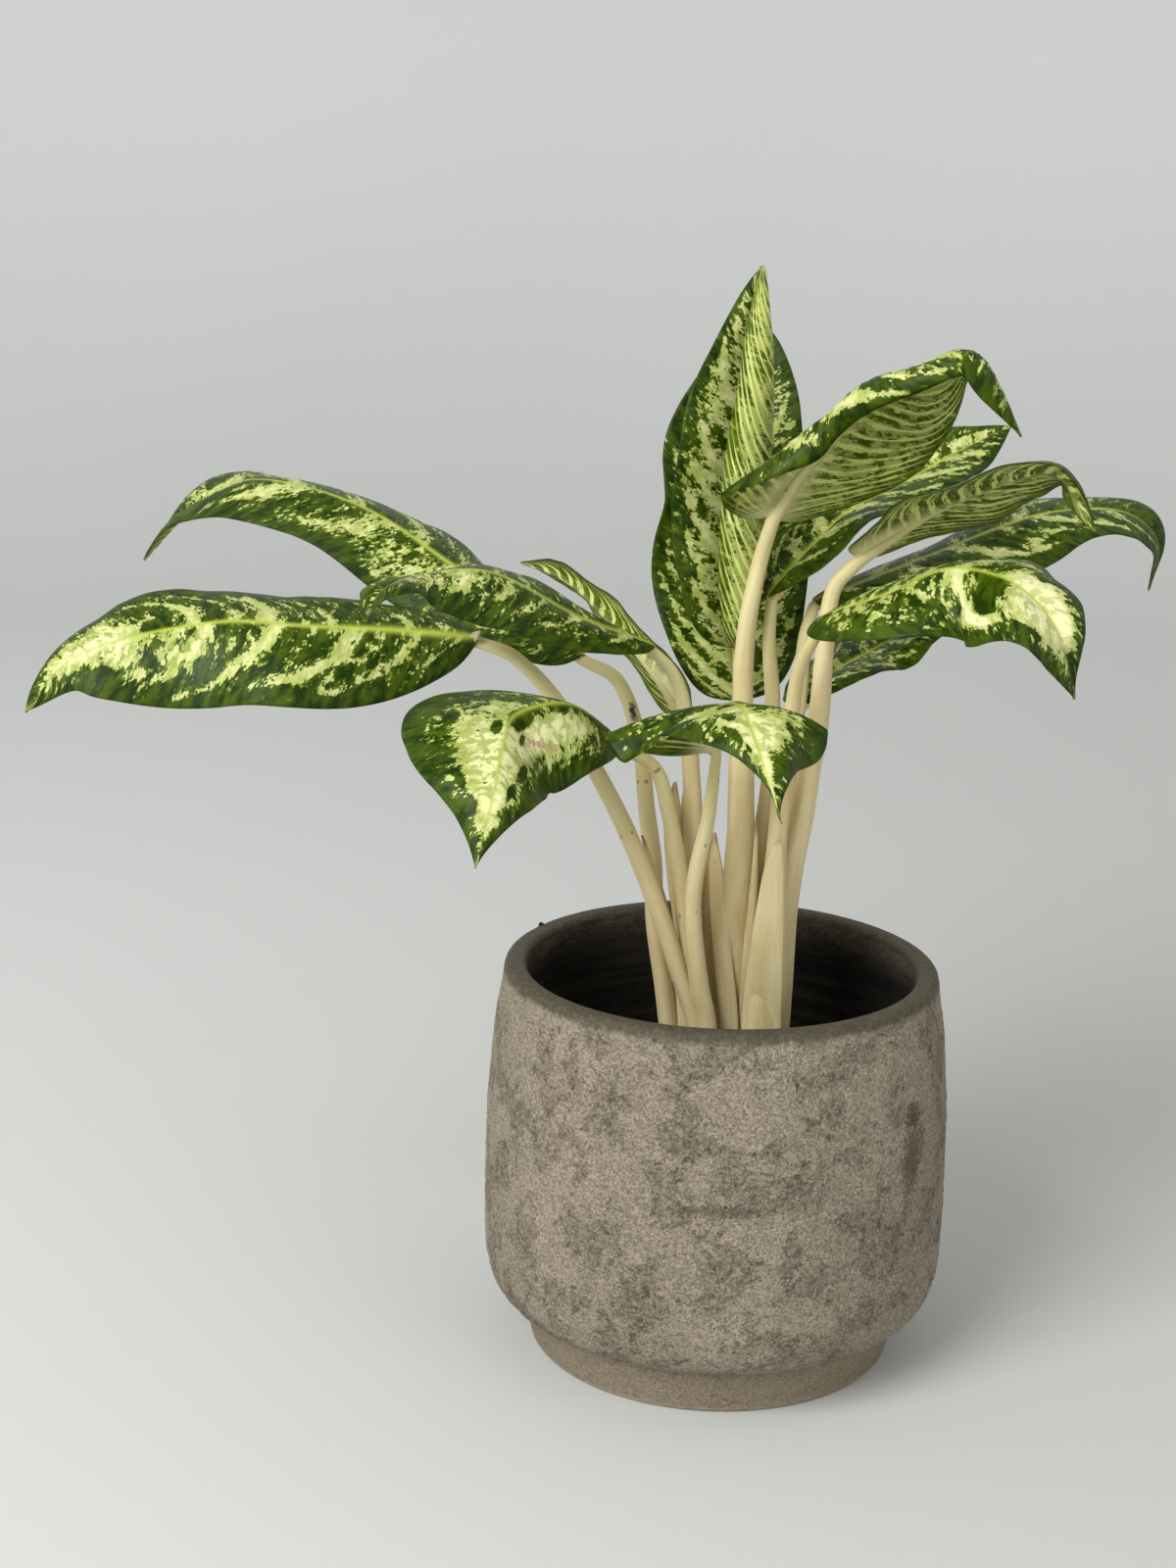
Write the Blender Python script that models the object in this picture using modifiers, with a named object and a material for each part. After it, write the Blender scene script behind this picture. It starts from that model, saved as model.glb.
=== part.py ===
"""A potted chinese evergreen: a stoneware pot, its soil, four leafy shoots and fourteen variegated blades.

The origin is at the centre of the pot's flat underside. +Z is up, +X is to the right and +Y is away from
the side that the plant is looked at from. Sizes in the tables are millimetres, and the model is in metres.
"""

from dataclasses import dataclass
from math import cos, pi, radians, sin

import bmesh
import bpy
import numpy as np

MM = 0.001
SHARP_ANGLE = radians(40)

# Pot
POT_HEIGHT = 136.0
POT_RADIUS = 80.0
POT_WALL = 7.6
POT_FLOOR = 8.0
INNER_HEIGHTS = (POT_FLOOR, 10.0, 14.0, 21.0, 34.0, 60.0)
FOOT_RADIUS = 62.6
FOOT_BAND_RADIUS = 66.8
FOOT_BAND_HEIGHT = 16.0
FOOT_CHAMFER = 1.4
FLOOR_CORNER = 26.0
RIM_RADIUS = 74.0
LIP_ROUND = 2.6
POT_STEPS = 48

# Soil
SOIL_LEVEL = 84.0
SOIL_ROUGHNESS = 1.3
FIT_GAP = 0.3
WALL_GAP = 1.0

# Shoots
CANE_RADIUS = 5.9
CANE_FOOT = 52.0
CANE_HEIGHTS = (CANE_FOOT, 96.0, 116.0, 132.0, 150.0)
CANE_RADII = (CANE_RADIUS, CANE_RADIUS, 5.2, 4.0, 2.2)
SHEATH_RADII = (3.2, 2.8, 0.6)
HOLE_RADIUS = 6.5
HOLE_FOOT = CANE_FOOT - FIT_GAP
HOLE_SIDES = 20
PETIOLE_START = 94.0
RIB_TIP_RADIUS = 0.7
RIB_REACH = 0.72
RIB_GAP = 0.6

# Blades
FRONT_VIEW = (0.0, 1.0, 0.0)
LEVEL = (0.0, 0.0, 1.0)
BLADE_THICKNESS = 0.8
BLADE_ROWS = 16
BLADE_COLUMNS = 8
BLADE_LEAST_HALF = 0.6
BLADE_CROWN = 1.5


@dataclass(frozen=True)
class Leaf:
    """One leaf: its petiole's route, then its midrib with the turn of each half about it.

    rib rows are (x, y, z, turn of the left half, turn of the right half). Turned from FRONT_VIEW, 0 degrees
    lies in the plane of the front view, 90 points away and -90 towards the viewer. Turned from LEVEL, 0
    degrees is level on the left of the way the leaf grows, 180 level on its right, and 90 straight up.
    """

    name: str
    petiole: tuple
    rib: tuple
    half: tuple
    widest: tuple = (0.45, 0.45)
    taper: tuple = (0.85, 0.85)
    roll: tuple = ((0.0,), (0.0,))
    roll_sharpness: tuple = (1, 1)
    sweep: tuple = ((-6, -2, 2, 3, 2, 0), (-6, -2, 2, 3, 2, 0))
    turned_from: tuple = FRONT_VIEW
    waves: float = 3.0
    wave_height: float = 1.2
    petiole_radii: tuple = (3.4, 2.2)


@dataclass(frozen=True)
class Shoot:
    """One rooted shoot: where its cane stands, its leaves and the free ends of its sheaths."""

    name: str
    foot: tuple
    leaves: tuple
    sheaths: tuple = ()


ARCHED_BACK_LEAF = Leaf(
    "leaf_arched_back",
    petiole=((-14, 1), (-19, 0, 125), (-23, 1, 149), (-24, 2, 169), (-27, 3, 188), (-30, 5, 210),
             (-38, 6, 231)),
    rib=((-49, 6, 240, -142, 101), (-93, 19, 265, -148, 85), (-130, 35, 284, -134, 92),
         (-169, 43, 291, -122, 100), (-194, 54, 278, -96, 65), (-212, 58, 259, -67, 111)),
    half=(24, 26),
    sweep=((-7, 0, 2, 5, 8, 3), (-9, 1, 3, 2, 4, -3)),
    widest=(0.41, 0.52), taper=(0.83, 0.89), wave_height=1.6)

HOOKED_LEAF = Leaf(
    "leaf_hooked",
    petiole=((-11, 1), (-12, 1, 153), (-11, 1, 180), (-13, 0, 208), (-16, -4, 228), (-20, -7, 238)),
    rib=((-25, -11, 247, -109, 99), (-48, -29, 258, -102, 90), (-76, -46, 275, -129, 104),
         (-97, -57, 275, -121, 112), (-107, -69, 271, -115, 64), (-110, -75, 265, -128, 68)),
    half=(21.7, 18.6),
    sweep=((-3, -4, 4, 4, 5, 1), (-5, -3, 2, 2, 2, 1)), widest=(0.51, 0.59), taper=(0.85, 0.76))

SLIM_LEAF = Leaf(
    "leaf_slim_behind",
    petiole=((-10, 3), (-13, 6, 162), (-13, 7, 186), (-12, 7, 206)),
    rib=((-14, 6, 219, -44, 132), (-23, 14, 230, -44, 132), (-43, 28, 249, -58, 118),
         (-58, 38, 260, -54, 116), (-75, 48, 264, -54, 116)),
    half=(12, 12), widest=(0.4, 0.4), taper=(0.8, 0.8))

LONG_LOW_LEAF = Leaf(
    "leaf_long_low",
    petiole=((-6, -10), (-8, -10, 117), (-14, -12, 136), (-20, -14, 154), (-27, -16, 172), (-34, -17, 188),
             (-43, -18, 205), (-57, -19, 229), (-71, -19, 243)),
    rib=((-82, -18, 249, -178, 92), (-108, -21, 251, -168, 74), (-138, -24, 252, -138, 83),
         (-168, -23, 252, -154, 73), (-213, -28, 240, -149, 62), (-229, -33, 222, -145, 59)),
    half=(30, 26),
    sweep=((-4, 0, 1, 3, 5, -4), (-7, -1, 2, 3, -1, -3)), widest=(0.43, 0.47), taper=(0.96, 0.7),
    wave_height=2.0)

BROAD_DROOPING_LEAF = Leaf(
    "leaf_broad_drooping",
    petiole=((-4, -9), (-8, -10, 122), (-11, -11, 146), (-15, -11, 170), (-19, -11, 190), (-24, -13, 206)),
    rib=((-34, -22, 217, -53, 182), (-50, -50, 235, -63, 189), (-65, -69, 235, -67, 178),
         (-67, -88, 229, -54, 189), (-68, -105, 218, -49, 181), (-72, -116, 199, -52, 184)),
    half=(27, 33), widest=(0.45, 0.53), taper=(1.41, 1.39),
    sweep=((-7, -2, 0, 1, 2, -2), (-7, -6, -3, -2, 0, 0)),
    turned_from=LEVEL)

FORWARD_LEAF = Leaf(
    "leaf_bent_forward",
    petiole=((-3, -12), (-4, -14, 117), (-7, -16, 132), (-10, -20, 159), (-9, -23, 175), (-6, -26, 192)),
    rib=((-5, -34, 217, 9, 214), (-3, -44, 234, -9, 187), (1, -56, 238, -13, 210),
         (5, -74, 238, 1, 193), (16, -108, 214, 9, 237)),
    half=(26.6, 39.1), widest=(0.53, 0.3), taper=(2.33, 3.4),
    roll=((-71.0, -40.0, -26.0, -65.0, 28.0), (0.0,)),
    sweep=((-7, -9, 1, 4, -2, -4), (-13, -7, -2, 4, 0, 2)), turned_from=LEVEL)

FURLED_LEAF = Leaf(
    "leaf_young_furled",
    petiole=((3, 5), (4, 5, 164), (3, 5, 205), (3, 6, 225)),
    rib=((3, 8, 243, -150, 10), (4, 12, 282, -150, 10), (5, 13, 307, -154, 10), (6, 11, 332, -160, 10),
         (5, 8, 368, -160, 10)),
    half=(30, 28), widest=(0.38, 0.38), roll=((10.0,), (205.0,)), roll_sharpness=(1, 0.6))

BROAD_UPRIGHT_LEAF = Leaf(
    "leaf_broad_upright",
    petiole=((3, 7), (3, 11, 161), (4, 15, 202)),
    rib=((3, 18, 223, -158, 0), (-2, 33, 259, -158, 10), (-3, 42, 281, -142, 5), (-2, 48, 306, -152, -20),
         (6, 54, 348, -152, -34)),
    half=(28, 28), taper=(0.6, 0.6), wave_height=1.8)

ROLLED_TOP_LEAF = Leaf(
    "leaf_rolled_top",
    petiole=((5, 2), (5, -2, 140), (5, -5, 165), (5, -8, 200), (4, -10, 230), (4, -11, 246), (5, -12, 259),
             (8, -12, 276)),
    rib=((11, -12, 289, 48, -223), (20, -11, 305, 11, -144), (40, -19, 327, 16, -115),
         (57, -34, 335, 64, -126), (69, -39, 342, 72, -111), (85, -46, 321, 53, -77)),
    half=(26.8, 29.6), widest=(0.37, 0.45), taper=(1.19, 0.8),
    roll=((0.0,), (-11.0, -9.0, -96.0, -191.0, -158.0, -169.0, -48.0)), roll_sharpness=(1, 3),
    sweep=((-5, 3, 3, -2, 3, -2), (-22, -20, -14, 1, 4, -6)), petiole_radii=(3.6, 2.5))

TOP_BEHIND_LEAF = Leaf(
    "leaf_top_behind",
    petiole=((7, 4), (11, 3, 170), (14, 4, 201), (14, 6, 226), (12, 8, 247)),
    rib=((11, 10, 261, 114, -74), (26, 18, 278, 114, -74), (38, 24, 289, 110, -76), (55, 32, 297, 108, -70),
         (73, 40, 307, 120, -62), (92, 48, 316, 120, -62)),
    half=(23, 23))

RAISED_SIDE_LEAF = Leaf(
    "leaf_seen_from_below",
    petiole=((18, -3), (19, -3, 124), (20, -5, 153), (22, -6, 171), (25, -7, 189), (27, -8, 207),
             (29, -9, 222), (30, -10, 247), (32, -10, 267)),
    rib=((38, -10, 278, 52, -118), (58, -20, 293, 52, -118), (71, -28, 301, 44, -112),
         (83, -34, 307, 58, -110), (97, -40, 310, 68, -100), (109, -46, 293, 68, -100)),
    half=(20, 20), petiole_radii=(4.4, 2.5))

FAR_LEAF = Leaf(
    "leaf_far_right",
    petiole=((17, 0), (18, 1, 147), (20, 2, 181), (21, 3, 210), (23, 5, 230), (24, 10, 247)),
    rib=((26, 16, 259, 82, -50), (66, 29, 274, 86, -66), (84, 35, 281, 90, -51),
         (105, 44, 287, 96, -68), (131, 49, 288, 97, -67), (145, 54, 278, 118, -73),
         (145, 59, 259, 98, -70)),
    half=(23, 23.7),
    sweep=((-7, -1, 3, 4, 4, 1), (-8, -1, 5, 4, 3, 2)), widest=(0.43, 0.43), taper=(0.89, 0.85))

FRONT_RIGHT_LEAF = Leaf(
    "leaf_front_right",
    petiole=((16, -5), (16, -9, 147), (17, -14, 179), (18, -18, 207), (20, -22, 229), (22, -27, 245)),
    rib=((27, -33, 262, 79, -74), (47, -46, 272, 85, -73), (62, -52, 281, 76, -39),
         (71, -55, 282, 87, -36), (84, -66, 279, 111, -47), (95, -74, 268, 137, -61),
         (102, -77, 247, 140, -56)),
    half=(23.6, 25.2),
    widest=(0.46, 0.48), taper=(1.4, 0.9), sweep=((-23, -9, -4, -2, 2, 4), (-27, -9, 4, 13, 9, 1)))

LOW_BACK_LEAF = Leaf(
    "leaf_low_back",
    petiole=((18, 1), (17, 7, 163), (19, 10, 190), (20, 11, 214)),
    rib=((22, 12, 224, 102, -82), (33, 19, 233, 102, -82), (46, 26, 240, 102, -72), (61, 33, 247, 102, -78),
         (80, 42, 252, 102, -78)),
    half=(21, 21), widest=(0.4, 0.4))

SHOOTS = (
    Shoot("stem_left", (-12, 1), (ARCHED_BACK_LEAF, HOOKED_LEAF, SLIM_LEAF),
          sheaths=(((-13, 0, 130), (-21, 0, 158), (-28, -1, 180)),
                   ((-12, 0, 130), (-16, 1, 170), (-17, 2, 200)))),
    Shoot("stem_front", (-4, -10), (LONG_LOW_LEAF, BROAD_DROOPING_LEAF, FORWARD_LEAF)),
    Shoot("stem_centre", (4, 4), (FURLED_LEAF, BROAD_UPRIGHT_LEAF, ROLLED_TOP_LEAF, TOP_BEHIND_LEAF)),
    Shoot("stem_right", (16, -2), (RAISED_SIDE_LEAF, FAR_LEAF, FRONT_RIGHT_LEAF, LOW_BACK_LEAF),
          sheaths=(((17, -4, 125), (18, -7, 160), (20, -9, 187)),)),
)


# Curves through chosen points

def unit(vector):
    """The vector at length 1."""
    return vector / np.linalg.norm(vector)


def knots(points):
    """Chord lengths along the points, from 0 to 1."""
    steps = np.linalg.norm(np.diff(points[:, :3], axis=0), axis=1)
    return np.concatenate([[0.0], np.cumsum(steps)]) / steps.sum()


def along(points, t):
    """The point at t, from 0 to 1, on the smooth curve through the points."""
    k = knots(points)
    i = int(min(max(np.searchsorted(k, t, side="right") - 1, 0), len(points) - 2))

    def slope(j):
        before, after = max(j - 1, 0), min(j + 1, len(points) - 1)
        return (points[after] - points[before]) / (k[after] - k[before])

    h = k[i + 1] - k[i]
    s = (t - k[i]) / h
    return ((2 * s**3 - 3 * s**2 + 1) * points[i] + (s**3 - 2 * s**2 + s) * h * slope(i)
            + (3 * s**2 - 2 * s**3) * points[i + 1] + (s**3 - s**2) * h * slope(i + 1))


def ramp(values, t):
    """Evenly spaced values read at t, from 0 to 1."""
    return float(np.interp(t, np.linspace(0, 1, len(values)), values))


# Leaf shape

def outline(t, widest, taper):
    """A blade's half width at t along it, as a share of its greatest."""
    t = min(max(t, 1e-6), 1 - 1e-6)
    rise = widest * taper / (1 - widest)
    return (t**rise * (1 - t)**taper) / (widest**rise * (1 - widest)**taper)


def rib_frame(leaf, t):
    """The midrib's direction and the two square to it that the halves' turns are measured from."""
    rib = np.array(leaf.rib, float)
    ahead = unit(along(rib, min(t + 0.01, 1))[:3] - along(rib, max(t - 0.01, 0))[:3])
    across = unit(np.cross(leaf.turned_from, ahead))
    return ahead, across, np.cross(ahead, across)


def half_axes(leaf, t, side):
    """The direction in which one half leaves the midrib, and its upper face's normal there."""
    ahead, across, square = rib_frame(leaf, t)
    turn = radians(along(np.array(leaf.rib, float), t)[3 + side])
    out = cos(turn) * across + sin(turn) * square
    return out, np.cross(out, ahead) * (1 if side else -1)


def blade_point(leaf, u, t):
    """A point of the blade's upper face: u from -1 (left margin) to 1 (right), t from base to tip."""
    rib = np.array(leaf.rib, float)
    side = int(u > 0)
    share = abs(u)
    ahead = rib_frame(leaf, t)[0]
    out, normal = half_axes(leaf, t, side)
    width = outline(t, leaf.widest[side], leaf.taper[side])
    half = leaf.half[side] * width + BLADE_LEAST_HALF
    roll = radians(ramp(leaf.roll[side], t))
    point = along(rib, t)[:3]
    steps = 24
    for i in range(steps):
        s = share * (i + 0.5) / steps
        bend = roll * s**leaf.roll_sharpness[side]
        point = point + half * share / steps * (cos(bend) * out + sin(bend) * normal)
    swept = ramp(leaf.sweep[side], t) * share**2 * min(1.0, 1.3 * width)
    phase = leaf.waves * t + (0.23 if side else -0.23)
    wave = leaf.wave_height * sin(2 * pi * phase) * share**2 * sin(pi * t)**0.5
    crown = BLADE_CROWN * 4 * share * (1 - share) * min(1.0, half / 10)
    return point + ahead * swept + normal * (wave + crown)


def rib_below(leaf, t, radius):
    """The centre of the raised midrib under the blade, clear of both halves."""
    both = half_axes(leaf, t, 0)[1] + half_axes(leaf, t, 1)[1]
    opening = np.linalg.norm(both) / 2
    drop = (radius + BLADE_THICKNESS + RIB_GAP) / opening
    return along(np.array(leaf.rib, float), t)[:3] - unit(both) * drop


# Blender helpers

def clear_scene():
    """Removes every object."""
    for item in list(bpy.data.objects):
        bpy.data.objects.remove(item, do_unlink=True)


def collection(name):
    """A new collection in the scene."""
    group = bpy.data.collections.new(name)
    bpy.context.scene.collection.children.link(group)
    return group


def material(name, colour, roughness):
    """A plain finish."""
    finish = bpy.data.materials.new(name)
    finish.use_nodes = True
    shader = finish.node_tree.nodes["Principled BSDF"]
    shader.inputs["Base Color"].default_value = (*colour, 1.0)
    shader.inputs["Roughness"].default_value = roughness
    return finish


def add_object(name, data, group, finish=None):
    """A new object in a collection, with its finish."""
    item = bpy.data.objects.new(name, data)
    group.objects.link(item)
    if finish:
        data.materials.append(finish)
    return item


def as_mesh(item):
    """Replaces a curve or a modified object by a plain mesh object of the same name and place."""
    bpy.context.view_layer.update()
    depsgraph = bpy.context.evaluated_depsgraph_get()
    mesh = bpy.data.meshes.new_from_object(item.evaluated_get(depsgraph))
    shape = bmesh.new()
    shape.from_mesh(mesh)
    bmesh.ops.remove_doubles(shape, verts=shape.verts, dist=0.00001)
    shape.to_mesh(mesh)
    shape.free()
    mesh.shade_smooth()
    mesh.set_sharp_from_angle(angle=SHARP_ANGLE)
    name, group, place = item.name, item.users_collection[0], item.matrix_world.copy()
    bpy.data.objects.remove(item, do_unlink=True)
    solid = bpy.data.objects.new(name, mesh)
    solid.matrix_world = place
    group.objects.link(solid)
    return solid


def turned(name, profile, steps, group, finish):
    """A solid of revolution about Z from a profile of (radius, height) points."""
    mesh = bpy.data.meshes.new(name)
    points = [(r * MM, 0.0, z * MM) for r, z in profile]
    mesh.from_pydata(points, [(i, i + 1) for i in range(len(points) - 1)], [])
    item = add_object(name, mesh, group, finish)
    screw = item.modifiers.new("turn", "SCREW")
    screw.steps = screw.render_steps = steps
    screw.use_merge_vertices = True
    screw.merge_threshold = 0.00001
    screw.use_normal_calculate = False
    return item


def tube(name, points, radii, group, sides=8):
    """A round tube through the points, in millimetres, with a radius at each."""
    curve = bpy.data.curves.new(name, "CURVE")
    curve.dimensions = "3D"
    curve.bevel_depth = MM
    curve.bevel_resolution = sides // 2 - 2
    curve.use_fill_caps = True
    spline = curve.splines.new("POLY")
    spline.points.add(len(points) - 1)
    for target, place, radius in zip(spline.points, points, radii):
        target.co = (*(float(c) * MM for c in place), 1.0)
        target.radius = radius
    return as_mesh(add_object(name, curve, group))


def arc(centre, radius, start, end, count):
    """Points of an arc of a turned profile, from one angle in degrees to another."""
    angles = [radians(start + (end - start) * i / count) for i in range(count + 1)]
    return [(centre[0] + radius * cos(a), centre[1] + radius * sin(a)) for a in angles]


# Sub-parts

def wall_radius(z):
    """The pot's outer radius at a height: full low down, drawn in a little to the rim."""
    heights = (FOOT_BAND_HEIGHT, 19.6, 24.8, 33.6, 52.0, 88.0, 116.0, 132.8)
    radii = (FOOT_BAND_RADIUS, 74.4, 78.0, 79.6, POT_RADIUS, 79.4, 77.0, RIM_RADIUS + 0.4)
    return float(np.interp(z, heights, radii))


def inner_radius(z):
    """The pot's inner radius, a wall inside the outer one and rounded into the floor."""
    straight = wall_radius(max(z, POT_FLOOR + FLOOR_CORNER)) - POT_WALL
    drop = max(0.0, (POT_FLOOR + FLOOR_CORNER - z) / FLOOR_CORNER)
    return straight - FLOOR_CORNER * (1 - (1 - drop**2)**0.5)


def make_pot(group, finish):
    """The pot in one turned profile: inner floor and wall, lip, belly, foot band and flat underside."""
    inner_top = POT_HEIGHT - LIP_ROUND
    inside = [(0.0, POT_FLOOR)]
    inside += [(inner_radius(z), z) for z in (*INNER_HEIGHTS, 90.0, 116.0, inner_top)]
    lip_inner = arc((inner_radius(inner_top) + LIP_ROUND, inner_top), LIP_ROUND, 180, 90, 3)[1:]
    lip_outer = arc((RIM_RADIUS - LIP_ROUND, inner_top), LIP_ROUND, 90, 0, 3)
    outside = [(wall_radius(z), z) for z in (116.0, 88.0, 52.0, 33.6, 24.8, 19.6)]
    foot = [(FOOT_BAND_RADIUS, FOOT_BAND_HEIGHT), (FOOT_RADIUS + FOOT_CHAMFER / 2, FOOT_CHAMFER)]
    foot += [(FOOT_RADIUS - FOOT_CHAMFER / 2, 0.0), (0.0, 0.0)]
    return turned("pot", inside + lip_inner + lip_outer + outside + foot, POT_STEPS, group, finish)


def soil_height(x, y):
    """The lumpy top of the soil, in millimetres."""
    lumps = sin(0.31 * x + 1.1) * cos(0.27 * y) + 0.6 * sin(0.63 * y - 0.5 * x)
    lumps += 0.4 * cos(0.9 * x + 0.7 * y)
    return SOIL_LEVEL + SOIL_ROUGHNESS * lumps


def make_soil(group, cutters, finish):
    """Soil from the pot's floor up, a small gap inside the wall, with a plain hole for each cane."""
    top = [(r, SOIL_LEVEL) for r in (0.0, 14.0, 30.0, 46.0, 60.0)]
    heights = (SOIL_LEVEL - FIT_GAP, *reversed(INNER_HEIGHTS[1:]))
    side = [(inner_radius(z) - WALL_GAP, z + FIT_GAP) for z in heights]
    bottom = [(inner_radius(POT_FLOOR) - WALL_GAP, POT_FLOOR + FIT_GAP), (0.0, POT_FLOOR + FIT_GAP)]
    soil = as_mesh(turned("soil", top + side + bottom, POT_STEPS, group, None))
    for vertex in soil.data.vertices:
        if abs(vertex.co.z - SOIL_LEVEL * MM) < 0.1 * MM:
            vertex.co.z = soil_height(vertex.co.x / MM, vertex.co.y / MM) * MM
    soil.data.materials.append(finish)
    depth = SOIL_LEVEL + 20.0 - HOLE_FOOT
    for shoot in SHOOTS:
        bpy.ops.mesh.primitive_cylinder_add(
            vertices=HOLE_SIDES, radius=HOLE_RADIUS * MM, depth=depth * MM,
            location=(shoot.foot[0] * MM, shoot.foot[1] * MM, (HOLE_FOOT + depth / 2) * MM))
        cutter = bpy.context.object
        cutter.name = "hole_for_" + shoot.name
        cutter.hide_render = True
        cutter.display_type = "WIRE"
        bpy.context.collection.objects.unlink(cutter)
        cutters.objects.link(cutter)
        cut = soil.modifiers.new(cutter.name, "BOOLEAN")
        cut.operation = "DIFFERENCE"
        cut.object = cutter
    return soil


def petiole_tube(leaf, group):
    """A petiole from inside the cane to the blade, running on under it as the raised midrib."""
    low, high = leaf.petiole_radii
    stalk = [(*leaf.petiole[0], PETIOLE_START), *leaf.petiole[1:]]
    count = len(stalk)
    radii = [low + (high - low) * i / count for i in range(count)]
    ribs = [i / BLADE_ROWS for i in range(int(RIB_REACH * BLADE_ROWS) + 1)]
    rib_radii = [high - 0.3 + (RIB_TIP_RADIUS - high + 0.3) * t / RIB_REACH for t in ribs]
    under = [rib_below(leaf, t, radius) for t, radius in zip(ribs, rib_radii)]
    smooth = np.array([*stalk, under[0]], float)
    steps = count + 3
    route = [along(smooth, i / steps) for i in range(steps)]
    route_radii = [float(np.interp(i / steps, knots(smooth), [*radii, rib_radii[0]])) for i in range(steps)]
    return tube(leaf.name + "_petiole", route + under, route_radii + rib_radii, group)


def make_shoot(shoot, group, scratch, finish):
    """A cane, its petioles and its sheath ends, joined into one body."""
    x, y = shoot.foot
    cane = tube(shoot.name, [(x, y, z) for z in CANE_HEIGHTS], CANE_RADII, group, sides=12)
    for leaf in shoot.leaves:
        petiole_tube(leaf, scratch)
    for i, route in enumerate(shoot.sheaths):
        tube(f"{shoot.name}_sheath_{i}", route, SHEATH_RADII, scratch)
    join = cane.modifiers.new("petioles", "BOOLEAN")
    join.operation = "UNION"
    join.operand_type = "COLLECTION"
    join.collection = scratch
    solid = as_mesh(cane)
    for item in list(scratch.objects):
        bpy.data.objects.remove(item, do_unlink=True)
    solid.data.materials.append(finish)
    return solid


def make_blade(leaf, group, finish):
    """A blade: a grid shaped by formula, split into triangles and given its thickness downwards."""
    shape = bmesh.new()
    bmesh.ops.create_grid(shape, x_segments=BLADE_COLUMNS, y_segments=BLADE_ROWS, size=1.0)
    for vertex in shape.verts:
        u, t = vertex.co.x, (vertex.co.y + 1) / 2
        vertex.co = blade_point(leaf, u, t) * MM
    bmesh.ops.triangulate(shape, faces=shape.faces, quad_method="FIXED")
    mesh = bpy.data.meshes.new(leaf.name)
    shape.to_mesh(mesh)
    shape.free()
    mesh.shade_smooth()
    item = add_object(leaf.name, mesh, group, finish)
    thicken = item.modifiers.new("thickness", "SOLIDIFY")
    thicken.thickness = BLADE_THICKNESS * MM
    thicken.offset = -1.0
    return item


def main():
    clear_scene()
    plant = collection("potted_chinese_evergreen")
    cutters = collection("cutters")
    scratch = collection("joined_petioles")
    stoneware = material("stoneware", (0.25, 0.22, 0.19), 0.85)
    earth = material("potting_soil", (0.045, 0.03, 0.02), 0.95)
    cream = material("cream_petiole", (0.80, 0.74, 0.52), 0.4)
    green = material("variegated_blade", (0.12, 0.26, 0.05), 0.3)
    make_pot(plant, stoneware)
    make_soil(plant, cutters, earth)
    for shoot in SHOOTS:
        make_shoot(shoot, plant, scratch, cream)
        for leaf in shoot.leaves:
            make_blade(leaf, plant, green)


main()
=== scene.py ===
"""A potted chinese evergreen, dressed: variegated blades on ivory stalks in a sandy pot.

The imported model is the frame. Each blade, petiole, sheath, the soil and the pot are finer pieces
that keep the form of the solids they stand for. Sizes in the tables are millimetres; everything is
built in metres, with +Z up, +X to the right and +Y away from the side that the plant is seen from.
"""

import logging
from collections.abc import Callable
from dataclasses import dataclass
from enum import Enum
from math import cos, pi, sin, sqrt

import bpy
import numpy as np
from mathutils import Matrix, Vector


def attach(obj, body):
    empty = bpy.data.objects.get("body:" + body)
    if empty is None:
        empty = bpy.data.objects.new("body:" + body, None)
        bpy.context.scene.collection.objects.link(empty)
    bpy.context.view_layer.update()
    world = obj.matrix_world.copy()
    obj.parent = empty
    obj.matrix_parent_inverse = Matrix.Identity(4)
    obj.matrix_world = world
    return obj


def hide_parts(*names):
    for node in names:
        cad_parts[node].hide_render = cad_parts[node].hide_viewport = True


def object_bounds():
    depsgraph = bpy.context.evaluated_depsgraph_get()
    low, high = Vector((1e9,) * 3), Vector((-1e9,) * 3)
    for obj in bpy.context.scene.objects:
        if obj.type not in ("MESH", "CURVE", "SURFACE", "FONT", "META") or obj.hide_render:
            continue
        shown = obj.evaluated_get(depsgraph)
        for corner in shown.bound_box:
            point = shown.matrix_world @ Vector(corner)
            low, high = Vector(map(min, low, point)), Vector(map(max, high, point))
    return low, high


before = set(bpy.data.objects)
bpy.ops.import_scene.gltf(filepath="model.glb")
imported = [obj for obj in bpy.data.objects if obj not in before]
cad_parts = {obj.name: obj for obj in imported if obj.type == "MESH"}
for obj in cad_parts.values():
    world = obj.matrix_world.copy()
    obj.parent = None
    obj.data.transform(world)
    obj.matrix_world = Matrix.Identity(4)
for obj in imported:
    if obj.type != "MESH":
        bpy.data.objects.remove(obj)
CAD_BOX = [list(corner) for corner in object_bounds()]

MM = 0.001
BODY = "root"
BOX_MARGIN = 0.00002
MERGE_DISTANCE = 0.000005
ORIGIN = (0.0, 0.0, 0.0)
log = logging.getLogger("potted_chinese_evergreen")

Colour = tuple[float, float, float]


class TurnedFrom(Enum):
    """The plane that a blade's turns are measured from."""

    FRONT_VIEW = (0.0, 1.0, 0.0)
    LEVEL = (0.0, 0.0, 1.0)


class Half(Enum):
    """One half of a blade, seen on its upper face with the tip ahead."""

    LEFT = 0
    RIGHT = 1


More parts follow.
